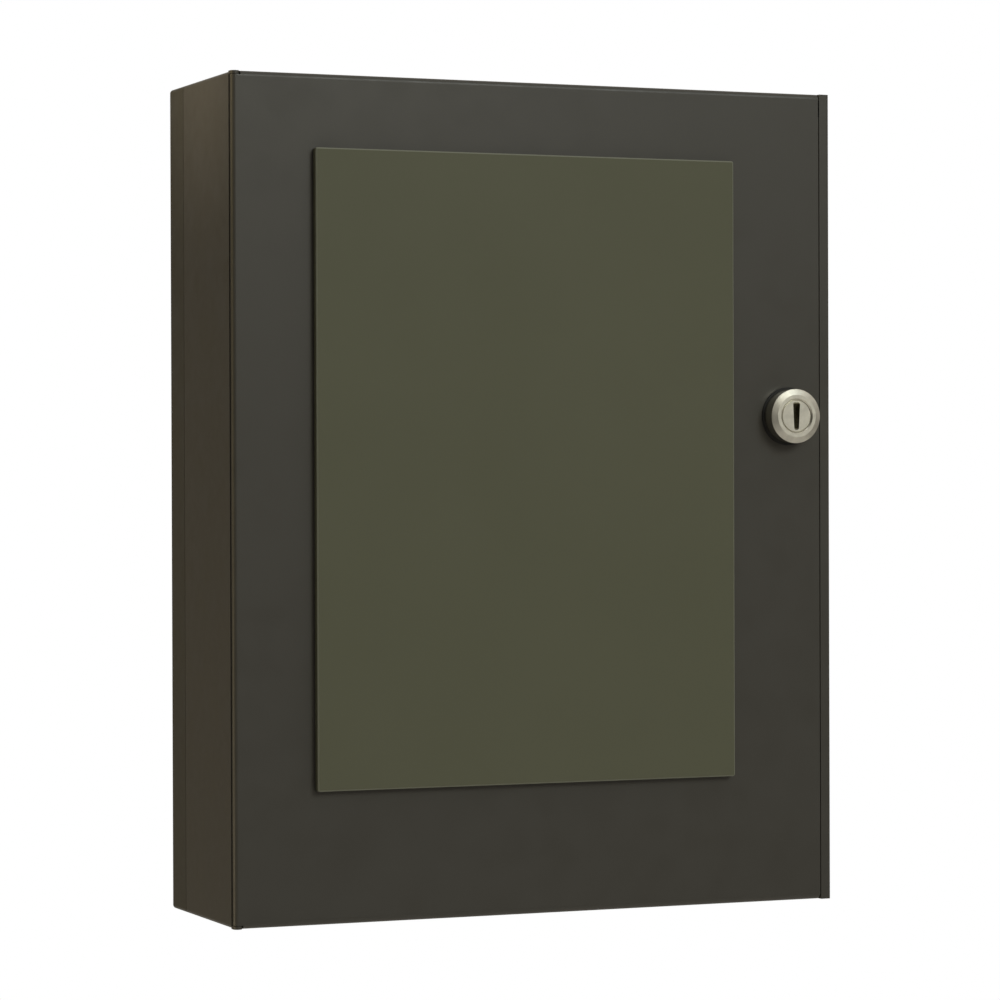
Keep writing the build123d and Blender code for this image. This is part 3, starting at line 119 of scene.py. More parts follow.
class Surface:
    """A material under construction: its node tree, its main shader and its object coordinates."""

    def __init__(self, name, color, roughness, metallic=0.0, **sockets):
        self.material = bpy.data.materials.new(name)
        self.material.use_nodes = True
        self.tree = self.material.node_tree
        self.shader = self.tree.nodes["Principled BSDF"]
        self.shader.inputs["Base Color"].default_value = color
        self.shader.inputs["Roughness"].default_value = roughness
        self.shader.inputs["Metallic"].default_value = metallic
        for socket, value in sockets.items():
            self.shader.inputs[socket.replace("_", " ")].default_value = value
        self.coordinates = self.tree.nodes.new("ShaderNodeTexCoord").outputs["Object"]
        self.color = color

    def link(self, source, target):
        self.tree.links.new(source, target)
        return source

    def stretched(self, scale):
        """Object coordinates multiplied by scale on each axis."""
        mapping = self.tree.nodes.new("ShaderNodeMapping")
        mapping.inputs["Scale"].default_value = scale
        self.link(self.coordinates, mapping.inputs["Vector"])
        return mapping.outputs["Vector"]

    def noise(self, grain_mm, detail=3.0, stretch=(1, 1, 1)):
        """Noise whose features are about grain_mm across, from 0 to 1."""
        node = self.tree.nodes.new("ShaderNodeTexNoise")
        node.inputs["Scale"].default_value = 1.0 / (grain_mm * MM)
        node.inputs["Detail"].default_value = detail
        node.inputs["Roughness"].default_value = NOISE_ROUGHNESS
        self.link(self.stretched(stretch), node.inputs["Vector"])
        return node.outputs["Fac"]

    def ramp(self, source, low, high):
        """Source mapped linearly so that low gives 0 and high gives 1."""
        node = self.tree.nodes.new("ShaderNodeMapRange")
        node.inputs["From Min"].default_value = low
        node.inputs["From Max"].default_value = high
        self.link(source, node.inputs["Value"])
        return node.outputs["Result"]

    def math(self, operation, first, second):
        node = self.tree.nodes.new("ShaderNodeMath")
        node.operation = operation
        for socket, value in zip(node.inputs, (first, second)):
            if isinstance(value, (int, float)):
                socket.default_value = value
            else:
                self.link(value, socket)
        return node.outputs["Value"]

    def mix(self, factor, first, second):
        """Colour between first and second."""
        node = self.tree.nodes.new("ShaderNodeMix")
        node.data_type = "RGBA"
        self.link(factor, node.inputs["Factor"])
        for socket, value in zip((node.inputs[6], node.inputs[7]), (first, second)):
            if isinstance(value, (tuple, list)):
                socket.default_value = value
            else:
                self.link(value, socket)
        return node.outputs[2]

    def paint(self, color):
        self.link(color, self.shader.inputs["Base Color"])

    def axes(self, vector):
        """The X, Y and Z of a vector as separate outputs."""
        node = self.tree.nodes.new("ShaderNodeSeparateXYZ")
        self.link(vector, node.inputs["Vector"])
        return node.outputs

    def own_normal(self):
        """The surface's direction in the object's own frame."""
        return self.axes(self.coordinates.node.outputs["Normal"])

    def vector_math(self, operation, first, second=None):
        node = self.tree.nodes.new("ShaderNodeVectorMath")
        node.operation = operation
        self.link(first, node.inputs[0])
        if second is not None:
            node.inputs[1].default_value = second
        return node

    def mottle(self, grain_mm, share, stretch=(1, 1, 1)):
        """Varies the base colour by plus or minus share."""
        low = tuple(channel * (1 - share) for channel in self.color[:3]) + (1.0,)
        high = tuple(min(1.0, channel * (1 + share)) for channel in self.color[:3]) + (1.0,)
        self.paint(self.mix(self.ramp(self.noise(grain_mm, stretch=stretch), 0.3, 0.7), low, high))

    def rough_between(self, grain_mm, low, high, stretch=(1, 1, 1)):
        """Varies the roughness from low to high."""
        node = self.tree.nodes.new("ShaderNodeMapRange")
        node.inputs["From Min"].default_value = 0.3
        node.inputs["From Max"].default_value = 0.7
        node.inputs["To Min"].default_value = low
        node.inputs["To Max"].default_value = high
        self.link(self.noise(grain_mm, stretch=stretch), node.inputs["Value"])
        self.link(node.outputs["Result"], self.shader.inputs["Roughness"])

    def facing_front(self, low, high):
        """How squarely the surface faces front or back: 0 at low and 1 at high, out of 1."""
        return self.ramp(self.math("ABSOLUTE", self.own_normal()["Y"], 0.0), low, high)

    def rings(self, centre, pitch_mm):
        """Fine turning marks round an axis along Y through centre."""
        offset = self.vector_math("SUBTRACT", self.coordinates, centre)
        flat = self.vector_math("MULTIPLY", offset.outputs["Vector"], (1, 0, 1))
        length = self.vector_math("LENGTH", flat.outputs["Vector"])
        return self.wave(length.outputs["Value"], pitch_mm)

    def stripes(self, axis, pitch_mm):
        """A smooth wave along one of the object's axes, from -1 to 1."""
        return self.wave(self.axes(self.coordinates)[axis], pitch_mm)

    def wave(self, distance, pitch_mm):
        """Sine of a distance, one cycle for each pitch_mm."""
        return self.math("SINE", self.math("MULTIPLY", distance, math.tau / (pitch_mm * MM)), 0.0)

    def bump(self, height, depth_mm):
        """Adds a bump on top of any bump already there."""
        node = self.tree.nodes.new("ShaderNodeBump")
        node.inputs["Distance"].default_value = depth_mm * MM
        self.link(height, node.inputs["Height"])
        earlier = self.shader.inputs["Normal"].links
        if earlier:
            self.link(earlier[0].from_socket, node.inputs["Normal"])
        self.link(node.outputs["Normal"], self.shader.inputs["Normal"])


# ---------------------------------------------------------------- materials
def painted_steel(name, color):
    """Powder-coated sheet: fine orange peel, a slow drift in tone and slightly uneven gloss."""
    paint = Surface(name, color, PAINT_ROUGHNESS, Specular_IOR_Level=0.45)
    paint.mottle(45.0, 0.02)
    paint.rough_between(12.0, PAINT_ROUGHNESS - 0.05, PAINT_ROUGHNESS + 0.06)
    paint.bump(paint.noise(0.9, detail=2.0), 0.010)
    paint.bump(paint.noise(0.28, detail=1.0), 0.003)
    return paint.material


def plated_metal(name, color, roughness, stretch=(1, 1, 1)):
    """Plated or brushed metal with fine directional marks and slight cloudiness."""
    metal = Surface(name, color, roughness, metallic=1.0)
    metal.mottle(4.0, 0.06)
    metal.rough_between(2.5, roughness - 0.06, roughness + 0.10)
    metal.bump(metal.noise(0.5, detail=4.0, stretch=stretch), 0.004)
    return metal.material


def turned_nickel(name, node):
    """Nickel plate on a turned part: brushed, slightly clouded face, polished sides."""
    nickel = Surface(name, srgb(214, 211, 199), NICKEL_FACE_ROUGHNESS, metallic=1.0)
    nickel.mottle(3.0, 0.10)
    low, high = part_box(node)
    middle = [(a + b) / 2 for a, b in zip(low, high)]
    rough = nickel.tree.nodes.new("ShaderNodeMapRange")
    rough.inputs["To Min"].default_value = NICKEL_SIDE_ROUGHNESS
    rough.inputs["To Max"].default_value = NICKEL_FACE_ROUGHNESS
    nickel.link(nickel.facing_front(0.30, 0.60), rough.inputs["Value"])
    nickel.link(rough.outputs["Result"], nickel.shader.inputs["Roughness"])
    nickel.bump(nickel.rings(middle, 0.35), 0.002)
    nickel.bump(nickel.noise(1.6, detail=3.0), 0.010)
    return nickel.material


def laminated_iron():
    """Stacked, varnished transformer laminations, edge on."""
    iron = Surface("core_iron", srgb(84, 80, 74), 0.45, metallic=0.8)
    iron.mottle(3.0, 0.12, stretch=(1, 8, 1))
    iron.rough_between(2.0, 0.38, 0.55)
    iron.bump(iron.stripes("Y", 0.7), 0.05)
    return iron.material


def wound_tape():
    """Varnished yellow tape over the transformer's winding, wrapped in turns."""
    tape = Surface("coil_wrap", srgb(196, 150, 42), 0.30, Coat_Weight=0.3)
    tape.mottle(6.0, 0.10)
    tape.bump(tape.stripes("Z", 4.5), 0.06)
    tape.bump(tape.noise(1.2), 0.02)
    return tape.material


def display_glass():
    """Unlit display: a pale green field with rows of faint character cells."""
    low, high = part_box("lcd_glass")
    glass = Surface("lcd_glass", LCD_FIELD, 0.14, Coat_Weight=0.6, Coat_Roughness=0.04)
    cells = glass.tree.nodes.new("ShaderNodeTexBrick")
    cells.offset = 0.0
    cells.inputs["Scale"].default_value = 1.0
    cells.inputs["Brick Width"].default_value = (high[0] - low[0]) / LCD_COLUMNS
    cells.inputs["Row Height"].default_value = (high[2] - low[2]) / LCD_ROWS
    cells.inputs["Mortar Size"].default_value = 0.35 * MM
    cells.inputs["Color1"].default_value = srgb(104, 116, 66)
    cells.inputs["Color2"].default_value = srgb(108, 119, 68)
    cells.inputs["Mortar"].default_value = LCD_FIELD
    axes = glass.axes(glass.coordinates)
    flat = glass.tree.nodes.new("ShaderNodeCombineXYZ")
    glass.link(glass.math("SUBTRACT", axes["X"], low[0]), flat.inputs["X"])
    glass.link(glass.math("SUBTRACT", axes["Z"], low[2]), flat.inputs["Y"])
    glass.link(flat.outputs["Vector"], cells.inputs["Vector"])
    glass.paint(cells.outputs["Color"])
    glass.rough_between(8.0, 0.12, 0.18)
    return glass.material


def striped_sheath():
    """Green sheath with a yellow stripe along it, for the earth lead."""
    green = srgb(52, 122, 44)
    yellow = srgb(214, 190, 40)
    sheath = Surface("lead_earth", green, 0.38)
    stripe = sheath.ramp(sheath.own_normal()["X"], 0.25, 0.35)
    sheath.paint(sheath.mix(stripe, green, yellow))
    sheath.rough_between(1.5, 0.32, 0.46)
    sheath.bump(sheath.noise(0.4), 0.004)
    return sheath.material


def moulded_plastic(name, color, roughness, depth_mm=0.006, cloud=0.05, **sockets):
    """Moulded plastic with a fine spark-eroded grain."""
    plastic = Surface(name, color, roughness, **sockets)
    plastic.mottle(9.0, cloud)
    plastic.rough_between(3.0, roughness - 0.05, roughness + 0.07)
    plastic.bump(plastic.noise(0.35, detail=2.0), depth_mm)
    return plastic.material


def tinted_acrylic():
    """Smoked olive-grey acrylic, nearly opaque, whose chamfered edges are painted paler as a painted
    highlight.
    """
    pane = Surface("tinted_pane", srgb(97, 98, 81), 0.36, Specular_IOR_Level=0.12)
    # Painted highlight: the chamfers, square neither to the front nor to the side, get the paler
    # srgb(126, 128, 114) in place of the light they would catch.
    bevel = pane.math("MULTIPLY", pane.facing_front(0.35, 0.55), pane.facing_front(0.95, 0.85))
    field = pane.mix(pane.ramp(pane.noise(70.0), 0.3, 0.7), srgb(96, 97, 80), srgb(98, 99, 82))
    pane.paint(pane.mix(bevel, field, srgb(126, 128, 114)))
    pane.rough_between(30.0, 0.33, 0.39)
    pane.bump(pane.noise(25.0, detail=1.0), 0.004)
    return pane.material


def printed_film():
    """Smooth, evenly pale polyester film."""
    return moulded_plastic("overlay_film", srgb(205, 205, 198), 0.5, depth_mm=0.002, cloud=0.008)


def materials():
    """One finish per slot of the record."""
    return {
        "cabinet_paint": painted_steel("cabinet_paint", CABINET_GREY),
        # Painted shade: the tray's paint is darker than the cabinet's to stand in for the dimmer light on
        # the rear strip, with a slightly more olive tone of its own.
        "tray_paint": painted_steel("tray_paint", srgb(56, 54, 45)),
        "door_paint": painted_steel("door_paint", CABINET_GREY),
        "fascia_paint": painted_steel("fascia_paint", srgb(172, 172, 166)),
        "surround_screw_finish": painted_steel("surround_screw_finish", srgb(34, 33, 31)),
        "nickel": plated_metal("nickel", srgb(222, 216, 202), 0.44),
        "zinc_steel": plated_metal("zinc_steel", srgb(178, 180, 176), 0.36),
        "bare_steel": plated_metal("bare_steel", srgb(150, 150, 148), 0.32, stretch=(1, 1, 0.1)),
        "brass": plated_metal("brass", srgb(196, 164, 96), 0.30),
        "black_anodised": plated_metal("black_anodised", srgb(34, 34, 35), 0.45),
        "core_iron": laminated_iron(),
        "tinted_pane": tinted_acrylic(),
        "tape": moulded_plastic("tape", srgb(22, 22, 22), 0.8),
        "rubber": moulded_plastic("rubber", srgb(28, 28, 28), 0.75),
        "overlay_film": printed_film(),
        "black_plastic": moulded_plastic("black_plastic", srgb(30, 30, 31), 0.45),
        "lcd_glass": display_glass(),
        "red_lens": moulded_plastic("red_lens", srgb(168, 24, 18), 0.15, Subsurface_Weight=0.3),
        "amber_lens": moulded_plastic("amber_lens", srgb(214, 130, 24), 0.15, Subsurface_Weight=0.3),
        "green_lens": moulded_plastic("green_lens", srgb(40, 136, 52), 0.15, Subsurface_Weight=0.3),
        "button_grey": moulded_plastic("button_grey", srgb(82, 84, 86), 0.5),
        "button_red": moulded_plastic("button_red", srgb(164, 30, 22), 0.45),
        "circuit_green": moulded_plastic("circuit_green", srgb(20, 84, 44), 0.35),
        "terminal_green": moulded_plastic("terminal_green", srgb(46, 118, 66), 0.45),
        "relay_blue": moulded_plastic("relay_blue", srgb(36, 66, 128), 0.4),
        "capacitor_sleeve": moulded_plastic("capacitor_sleeve", srgb(26, 28, 44), 0.3),
        "fuse_glass": moulded_plastic("fuse_glass", srgb(220, 228, 228), 0.05, Transmission_Weight=0.9),
        "battery_case": moulded_plastic("battery_case", srgb(44, 44, 47), 0.55),
        "white_plastic": moulded_plastic("white_plastic", srgb(212, 210, 202), 0.45, cloud=0.015),
        "ribbon_grey": moulded_plastic("ribbon_grey", srgb(148, 148, 150), 0.5),
        "lead_red": moulded_plastic("lead_red", srgb(160, 24, 20), 0.4),
        "lead_black": moulded_plastic("lead_black", srgb(20, 20, 20), 0.4),
        "lead_brown": moulded_plastic("lead_brown", srgb(86, 48, 24), 0.4),
        "lead_earth": striped_sheath(),
        "coil_wrap": wound_tape(),
    }


FINISH = materials()


def dress_cad_nodes():
    """Gives every CAD node the finish of its slot."""
    for name, node in nodes.items():
        node.data.materials.clear()
        node.data.materials.append(FINISH[slot_of[name]])


def dress_turned_parts():
    """Turned nickel parts get marks centred on their own axes."""
    for name in ("lock_housing", "lock_plug", "key_switch_barrel", "key_switch_plug"):
        nodes[name].data.materials[0] = turned_nickel("nickel_" + name, name)


# ---------------------------------------------------------------- piece helpers
def add_piece(name, mesh, body, slot):
    """Links a finished mesh as a piece that moves with body and takes its finish from slot."""
    mesh.materials.clear()
    mesh.materials.append(FINISH[slot])
    piece = bpy.data.objects.new(name, mesh)
    bpy.context.scene.collection.objects.link(piece)
    if body:
        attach(piece, body)
    return piece


def nurbs(name, points_mm, radius_mm=0.0):
    """A smooth curve whose control points are the route's points."""
    curve = bpy.data.curves.new(name, "CURVE")
    curve.dimensions = "3D"
    spline = curve.splines.new("NURBS")
    spline.points.add(len(points_mm) - 1)
    for point, place in zip(spline.points, points_mm):
        point.co = (place[0] * MM, place[1] * MM, place[2] * MM, 1.0)
    spline.order_u = 3
    spline.use_endpoint_u = True
    spline.resolution_u = CURVE_STEPS
    curve.bevel_depth = radius_mm * MM
    curve.bevel_resolution = 6
    curve.use_fill_caps = True
    return bpy.data.objects.new(name, curve)


def curve_mesh(curve_object):
    """The curve's evaluated shape as a mesh of its own."""
    bpy.context.scene.collection.objects.link(curve_object)
    depsgraph = bpy.context.evaluated_depsgraph_get()
    mesh = bpy.data.meshes.new_from_object(curve_object.evaluated_get(depsgraph), depsgraph=depsgraph)
    curve = curve_object.data
    bpy.data.objects.remove(curve_object)
    bpy.data.curves.remove(curve)
    return mesh


def smooth(mesh):
    for face in mesh.polygons:
        face.use_smooth = True


def wire(name, points_mm, slot):
    """A round lead along its route, fixed to the cabinet."""
    mesh = curve_mesh(nurbs(name, points_mm, LEAD_R))
    smooth(mesh)
    return add_piece(name, mesh, "cabinet", slot)


def slabs_mesh(name, slabs, bevel_mm=0.0):
    """One mesh of separate boxes, each given as x0, x1, y0, y1, z0, z1 in mm, with softened edges."""
    shape = bmesh.new()
    for x0, x1, y0, y1, z0, z1 in slabs:
        middle = Vector(((x0 + x1) / 2, (y0 + y1) / 2, (z0 + z1) / 2)) * MM
        size = Matrix.Diagonal(((x1 - x0) * MM, (y1 - y0) * MM, (z1 - z0) * MM, 1.0))
        bmesh.ops.create_cube(shape, size=1.0, matrix=Matrix.Translation(middle) @ size)
    if bevel_mm:
        bmesh.ops.bevel(shape, geom=shape.edges[:], offset=bevel_mm * MM, segments=2, affect="EDGES")
    mesh = bpy.data.meshes.new(name)
    shape.to_mesh(mesh)
    shape.free()
    return mesh


def ring_mesh(name, places, profile):
    """Turned rings round axes along Y at places. The profile is a closed loop of (radius, y) in mm."""
    shape = bmesh.new()
    for x, z in places:
        rows = []
        for step in range(RING_SEGMENTS):
            angle = math.tau * step / RING_SEGMENTS
            direction = (math.cos(angle), math.sin(angle))
            rows.append([
                shape.verts.new(((x + r * direction[0]) * MM, y * MM, (z + r * direction[1]) * MM))
                for r, y in profile
            ])
        for row, following in zip(rows, rows[1:] + rows[:1]):
            for i in range(len(profile)):
                j = (i + 1) % len(profile)
                shape.faces.new((row[i], row[j], following[j], following[i]))
    bmesh.ops.recalc_face_normals(shape, faces=shape.faces[:])
    mesh = bpy.data.meshes.new(name)
    shape.to_mesh(mesh)
    shape.free()
    smooth(mesh)
    return mesh


# ---------------------------------------------------------------- leads
def battery_wires():
    """Leads from the batteries' tabs to each other and up to the main board."""
    positive = wire("battery_positive_wire", [
        (-95.0, -12.0, -15.2),
        (-104.5, -12.0, -15.2),
        (-104.0, -12.5, 4.8),
        (-83.2, -14.1, 18.8),
        (-83.2, -14.1, 36.0),
    ], "lead_red")
    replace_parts(positive, "positive_lead")
    negative = wire("battery_negative_wire", [
        (-95.0, -28.0, -87.2),
        (-106.5, -28.0, -87.2),
        (-106.0, -27.5, -63.2),
        (-106.6, -27.8, -27.2),
        (-105.5, -27.0, 4.8),
        (-76.8, -14.1, 19.8),
        (-76.8, -14.1, 36.0),
    ], "lead_black")
    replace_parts(negative, "negative_leads")
    wire("battery_link_wire", [
        (-95.0, -28.0, -15.2),
        (-100.6, -28.0, -15.2),
        (-100.4, -25.0, -31.2),
        (-100.8, -20.0, -51.2),
        (-100.4, -14.5, -73.2),
        (-100.4, -12.0, -87.2),
        (-95.0, -12.0, -87.2),
    ], "lead_black")


def mains_wires():
    """Live and neutral leads from the mains terminal to the transformer's coil."""
    for number, x in enumerate((67.0, 79.0), 1):
        piece = wire(f"mains_wire_{number}", [
            (x, -12.0, 54.0),
            (x, -12.0, 61.0),
            (x + 4.0, -31.0, 73.0),
            (x + 4.0, -31.0, 89.3),
        ], "lead_brown")
        if number == 1:
            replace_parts(piece, "mains_leads")


def earth_wire():
    """Limp lead across the hinge side, fixed in place with no body of its own."""
    start = (-111.5, -53.5, -100.0)
    end = (-107.5, -72.2, -100.0)
    mesh = curve_mesh(nurbs("earth_wire", [
        start,
        (-116.5, -53.5, -100.0),
        (-118.0, -57.5, -112.0),
        (-118.0, -62.85, -120.0),
        (-117.0, -69.2, -112.0),
        (-113.5, -72.2, -100.0),
        end,
    ], LEAD_R))
    smooth(mesh)
    piece = add_piece("earth_wire", mesh, None, "lead_earth")
    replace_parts(piece, "door_earth_lead")
    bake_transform(piece)


def ribbon():
    """Flat ribbed cable between the two boards, one rib for each of its wires."""
    path = curve_mesh(nurbs("ribbon_path", [
        (-27.0, -33.0, 34.0),
        (-27.0, -24.8, 34.0),
        (-27.0, -24.8, 62.0),
        (-27.0, -16.6, 62.0),
    ]))
    places = [vertex.co.copy() for vertex in path.vertices]
    bpy.data.meshes.remove(path)
    steps = RIBBON_RIBS * 4
    width = RIBBON_W * MM
    shape = bmesh.new()
    rows = []
    for i, place in enumerate(places):
        along = (places[min(i + 1, len(places) - 1)] - places[max(i - 1, 0)]).normalized()
        across = along.cross(Vector((1, 0, 0)))
        row = []
        for side in (1, -1):
            for step in range(steps + 1):
                t = step / steps if side > 0 else 1 - step / steps
                rib = abs(math.sin(math.pi * RIBBON_RIBS * t))
                thickness = (0.24 + 0.20 * rib) * MM
                offset = Vector(((t - 0.5) * width, 0, 0)) + across * side * thickness
                row.append(shape.verts.new(place + offset))
        rows.append(row)
    for row, following in zip(rows, rows[1:]):
        for i in range(len(row)):
            j = (i + 1) % len(row)
            shape.faces.new((row[i], row[j], following[j], following[i]))
    shape.faces.new(rows[0])
    shape.faces.new(rows[-1])
    bmesh.ops.recalc_face_normals(shape, faces=shape.faces[:])
    mesh = bpy.data.meshes.new("ribbon_strip")
    shape.to_mesh(mesh)
    shape.free()
    smooth(mesh)
    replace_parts(add_piece("ribbon_strip", mesh, "cabinet", "ribbon_grey"), "ribbon_cable")


# ---------------------------------------------------------------- printed film and small details
def frame_bars(x0, x1, z0, z1, line):
    """Four bars that draw a rectangle's outline, as (x0, x1, z0, z1)."""
    return [
        (x0, x1, z0, z0 + line),
        (x0, x1, z1 - line, z1),
        (x0, x0 + line, z0 + line, z1 - line),
        (x1 - line, x1, z0 + line, z1 - line),
    ]


DIGIT_W = 2.6
DIGIT_H = 4.4
DIGIT_LINE = 0.55
DIGIT_SEGMENTS = {1: "bc", 2: "abged", 3: "abgcd", 4: "fgbc"}


def digit_bars(digit, x, z):
    """Bars of a plain seven-segment figure centred on x, z."""
    line = DIGIT_LINE
    left, right = x - DIGIT_W / 2, x + DIGIT_W / 2
    low, high = z - DIGIT_H / 2, z + DIGIT_H / 2
    half = line / 2
    segments = {
        "a": (left, right, high - line, high),
        "g": (left + line, right - line, z - half, z + half),
        "d": (left, right, low, low + line),
        "b": (right - line, right, z + half, high - line),
        "c": (right - line, right, low + line, z - half),
        "f": (left, left + line, z + half, high - line),
        "e": (left, left + line, low + line, z - half),
    }
    return [segments[letter] for letter in DIGIT_SEGMENTS[digit]]


def printed(name, bars, slot):
    """Ink on the fascia's film."""
    slabs = [(x0, x1, FILM_FRONT - INK_T, FILM_FRONT + 0.01, z0, z1) for x0, x1, z0, z1 in bars]
    add_piece(name, slabs_mesh(name, slabs), "cabinet", slot)


def fascia_print():
    """Outlines, zone figures and colour bands printed on the film. There is no lettering."""
    dark = frame_bars(-100.5, 88.5, -4.5, 130.5, 0.6)
    dark += frame_bars(-91.5, -3.5, 39.5, 62.5, 0.5)
    dark += [(x - 0.2, x + 0.2, 40.0, 62.0) for x in (-69.0, -47.0, -25.0)]
    dark += frame_bars(14.5, 47.0, 72.5, 118.5, 0.5)
    dark += [(29.0, 42.0, z - 0.55, z + 0.55) for x, z in RED_LEDS[:1] + AMBER_LEDS[:2] + GREEN_LEDS]
    for number, x in enumerate(ZONES, 1):
        dark += digit_bars(number, x, 67.0)
    for x in BUTTON_PLACES:
        dark += frame_bars(x - 8.2, x + 8.2, 11.8, 28.2, 0.5)
    dark += [(61.7, 62.3, 38.6, 41.6), (72.6, 75.6, 27.7, 28.3)]
    printed("printed_lines", dark, "button_grey")
    printed("printed_band", [(-97.5, 85.5, 123.5, 127.5)], "button_red")
    printed("display_surround", [
        (-90.5, 0.5, 111.6, 119.0),
        (-90.5, 0.5, 75.0, 82.4),
        (-90.5, -84.6, 82.4, 111.6),
        (-5.4, 0.5, 82.4, 111.6),
    ], "black_plastic")


def led_collars():
    """Small black snap-in collars round the indicators."""
    profile = [(2.65, FILM_FRONT), (2.65, FILM_FRONT - 0.5), (2.9, FILM_FRONT - 0.65),
               (3.2, FILM_FRONT - 0.55), (3.45, FILM_FRONT - 0.2), (3.5, FILM_FRONT)]
    mesh = ring_mesh("led_collars", RED_LEDS + AMBER_LEDS + GREEN_LEDS, profile)
    add_piece("led_collars", mesh, "cabinet", "black_plastic")


def battery_labels():
    """Plain pale bands on the batteries' fronts, each with a dark bar."""
    pale, dark = [], []
    front = BATTERY_FRONT
    for low in BATTERY_BOTTOMS:
        for x0, x1 in ((-86.0, -24.0), (10.0, 72.0)):
            pale.append((x0, x1, front - 0.10, front + 0.05, low + 14, low + 44))
            dark.append((x0, x1, front - 0.13, front, low + 36, low + 40))
    add_piece("battery_labels", slabs_mesh("battery_labels", pale), "cabinet", "white_plastic")
    add_piece("battery_label_bars", slabs_mesh("battery_label_bars", dark), "cabinet", "button_grey")


def small_components():
    """Rows of surface-mount parts on the main board, bodies and tinned ends."""
    rng = random.Random(7)
    bodies, ends = [], []
    front = MAIN_BOARD_FRONT
    fields = (
        (-62.0, -46.0, 38.0, 56.0),
        (-14.0, 14.0, 62.0, 80.0),
        (18.0, 46.0, 34.0, 56.0),
        (-92.0, -76.0, 52.0, 64.0),
    )
    for x0, x1, z0, z1 in fields:
        for row in range(int((z1 - z0) // 3.0)):
            for column in range(int((x1 - x0) // 4.0)):
                if rng.random() < 0.2:
                    continue
                x = x0 + 2.0 + 4.0 * column
                z = z0 + 1.5 + 3.0 * row
                tall = rng.choice((0.5, 0.6, 0.8))
                bodies.append((x - 0.75, x + 0.75, front - tall, front, z - 0.6, z + 0.6))
                ends.append((x - 1.1, x - 0.72, front - tall - 0.02, front, z - 0.62, z + 0.62))
                ends.append((x + 0.72, x + 1.1, front - tall - 0.02, front, z - 0.62, z + 0.62))
    add_piece("chip_resistors", slabs_mesh("chip_resistors", bodies, 0.06), "cabinet", "black_plastic")
    add_piece("chip_resistor_ends", slabs_mesh("chip_resistor_ends", ends, 0.06), "cabinet", "zinc_steel")


# ---------------------------------------------------------------- stage, light and camera
def build_floor():
    """A wide pale floor, well below the wall-hung cabinet, that fades into the pale room at its rim."""
    mesh = bpy.data.meshes.new("floor")
    outline = bmesh.new()
    bmesh.ops.create_circle(outline, cap_ends=True, segments=96, radius=FLOOR_RADIUS)
    outline.to_mesh(mesh)
    outline.free()
    floor = bpy.data.objects.new("floor", mesh)
    floor.location.z = FLOOR_Z
    bpy.context.scene.collection.objects.link(floor)
    pale = Surface("floor_white", srgb(240, 240, 240), 0.9)
    pale.mottle(400.0, 0.01)
    distance = pale.tree.nodes.new("ShaderNodeVectorMath")
    distance.operation = "LENGTH"
    pale.link(pale.coordinates, distance.inputs[0])
    fade = pale.ramp(distance.outputs["Value"], FLOOR_RADIUS, FLOOR_RADIUS * 0.45)
    pale.link(fade, pale.shader.inputs["Alpha"])
    mesh.materials.append(pale.material)


def area_light(name, place, target, size, watts, color):
    """A softbox. Size is its width and height in metres."""
    light = bpy.data.lights.new(name, "AREA")
    light.shape = "RECTANGLE"
    light.size, light.size_y = size
    light.spread = math.radians(SOFTBOX_SPREAD)
    add_lamp(light, place, target, watts, color)


def spot_light(name, place, target, cone_degrees, watts, color):
    """A lamp whose pool of light fades all the way from its middle to its rim, with no glint."""
    light = bpy.data.lights.new(name, "SPOT")
    light.spot_size = math.radians(cone_degrees)
    light.spot_blend = 1.0
    light.shadow_soft_size = SPOT_RADIUS
    lamp = add_lamp(light, place, target, watts, color)
    lamp.visible_glossy = False


def add_lamp(light, place, target, watts, color):
    light.energy = watts
    light.color = color
    lamp = bpy.data.objects.new(light.name, light)
    lamp.location = place
    aim = Vector(target) - Vector(place)
    lamp.rotation_euler = aim.to_track_quat("-Z", "Y").to_euler()
    lamp.visible_camera = False
    bpy.context.scene.collection.objects.link(lamp)
    return lamp


def build_light():
    """A high key from the front and weaker, warmer light from the left."""
    area_light(
        "key", place=(0.5, -1.85, 0.9), target=(0, 0, 0.05),
        size=(0.7, 0.7), watts=2.65, color=(1.0, 0.99, 0.86),
    )
    area_light(
        "key_side", place=(0.8, -1.7, 1.1), target=(0, 0, 0.05),
        size=(0.7, 0.7), watts=1.32, color=(0.72, 0.90, 1.0),
    )
    area_light(
        "left_fill", place=(-1.9, 0.35, 0.75), target=(-0.12, 0, 0.05),
        size=(0.8, 1.2), watts=2.3, color=(1.0, 0.82, 0.42),
    )
    area_light(
        "left_low", place=(-1.3, 0.2, -0.5), target=(-0.12, 0, -0.08),
        size=(0.5, 0.5), watts=1.8, color=(1.0, 0.84, 0.58),
    )
    spot_light(
        "left_top", place=(-0.75, 0.12, 0.30), target=(-0.125, -0.04, 0.178),
        cone_degrees=9, watts=40, color=(1.0, 0.88, 0.72),
    )
    area_light(
        "top", place=(-0.45, -0.35, 1.30), target=(-0.08, -0.05, 0.16),
        size=(0.5, 0.5), watts=0.32, color=(1, 1, 1),
    )


def room_shade(tree, direction, low, low_color, high, high_color):
    """Colour that runs from one side of the room, 0, to the other, 1, between low and high."""
    place = tree.nodes.new("ShaderNodeMapRange")
    place.inputs["From Min"].default_value = -1.0
    tree.links.new(direction, place.inputs["Value"])
    shade = tree.nodes.new("ShaderNodeValToRGB")
    first, last = shade.color_ramp.elements
    first.position, first.color = low, low_color
    last.position, last.color = high, high_color
    tree.links.new(place.outputs["Result"], shade.inputs["Fac"])
    return shade.outputs["Color"]


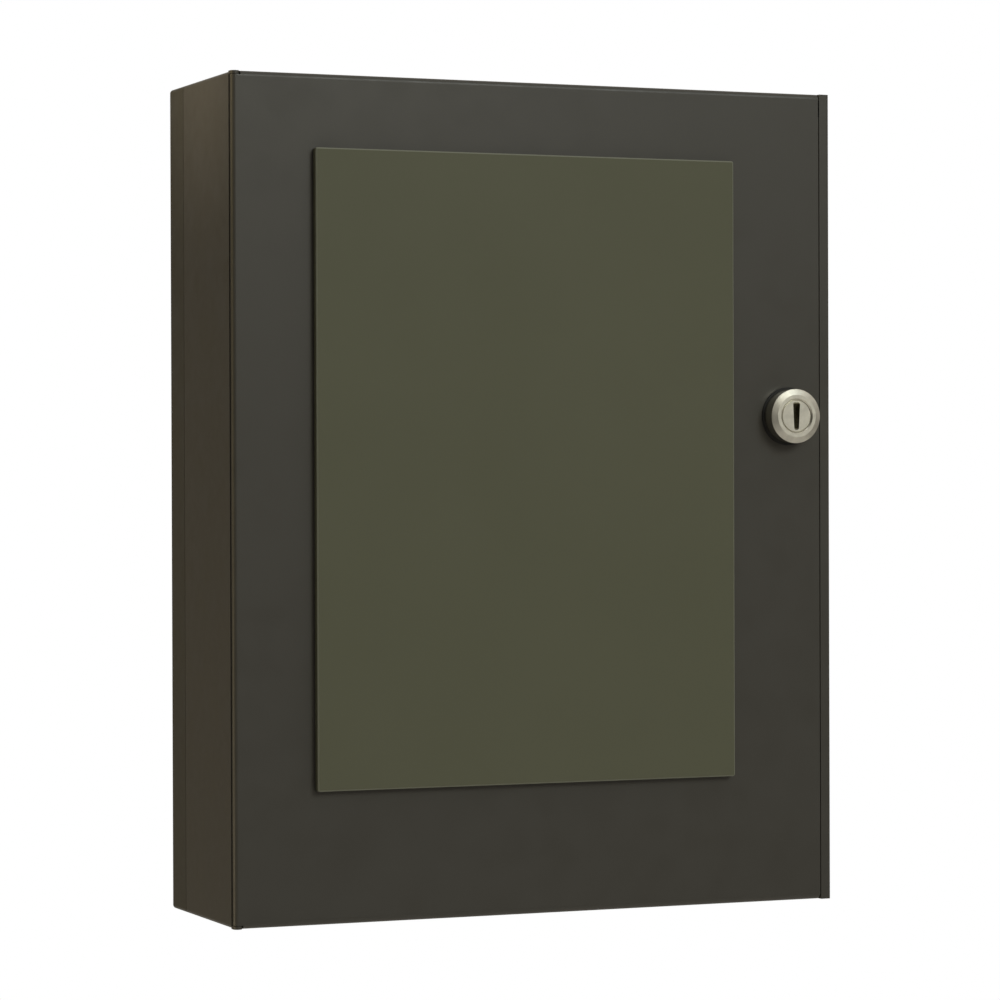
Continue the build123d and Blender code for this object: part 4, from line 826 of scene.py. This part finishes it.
def build_room():
    """A room that darkens towards the floor and the left, seen as plain white by the camera."""
    world = bpy.data.worlds.new("studio")
    bpy.context.scene.world = world
    world.use_nodes = True
    tree = world.node_tree
    direction = tree.nodes.new("ShaderNodeTexCoord")
    axes = tree.nodes.new("ShaderNodeSeparateXYZ")
    tree.links.new(direction.outputs["Generated"], axes.inputs["Vector"])
    upward = room_shade(tree, axes.outputs["Z"], 0.30, ROOM_BOTTOM, 0.85, ROOM_TOP)
    sideways = room_shade(tree, axes.outputs["X"], 0.15, ROOM_LEFT, 0.60, WHITE)
    both = tree.nodes.new("ShaderNodeMix")
    both.data_type = "RGBA"
    both.blend_type = "MULTIPLY"
    both.inputs["Factor"].default_value = 1.0
    tree.links.new(upward, both.inputs[6])
    tree.links.new(sideways, both.inputs[7])
    room = tree.nodes["Background"]
    room.inputs["Strength"].default_value = ROOM_STRENGTH
    tree.links.new(both.outputs[2], room.inputs["Color"])
    backdrop = tree.nodes.new("ShaderNodeBackground")
    backdrop.inputs["Color"].default_value = WHITE
    path = tree.nodes.new("ShaderNodeLightPath")
    choose = tree.nodes.new("ShaderNodeMixShader")
    tree.links.new(path.outputs["Is Camera Ray"], choose.inputs["Fac"])
    tree.links.new(room.outputs["Background"], choose.inputs[1])
    tree.links.new(backdrop.outputs["Background"], choose.inputs[2])
    tree.links.new(choose.outputs["Shader"], tree.nodes["World Output"].inputs["Surface"])


def build_camera():
    camera_data = bpy.data.cameras.new("camera")
    camera_data.lens = LENS_MM
    camera_data.sensor_width = SENSOR_MM
    camera_data.clip_end = 100.0
    camera = bpy.data.objects.new("camera", camera_data)
    forward = CAMERA_FORWARD.normalized()
    right = forward.cross(CAMERA_UP).normalized()
    up = right.cross(forward)
    axes = Matrix((right, up, -forward)).transposed().to_4x4()
    camera.matrix_world = Matrix.Translation(CAMERA_PLACE) @ axes
    bpy.context.scene.collection.objects.link(camera)
    bpy.context.scene.camera = camera


dress_cad_nodes()
dress_turned_parts()
battery_wires()
mains_wires()
earth_wire()
ribbon()
fascia_print()
led_collars()
battery_labels()
small_components()
build_floor()
build_light()
build_room()
build_camera()
bpy.context.scene.view_settings.view_transform = "Standard"
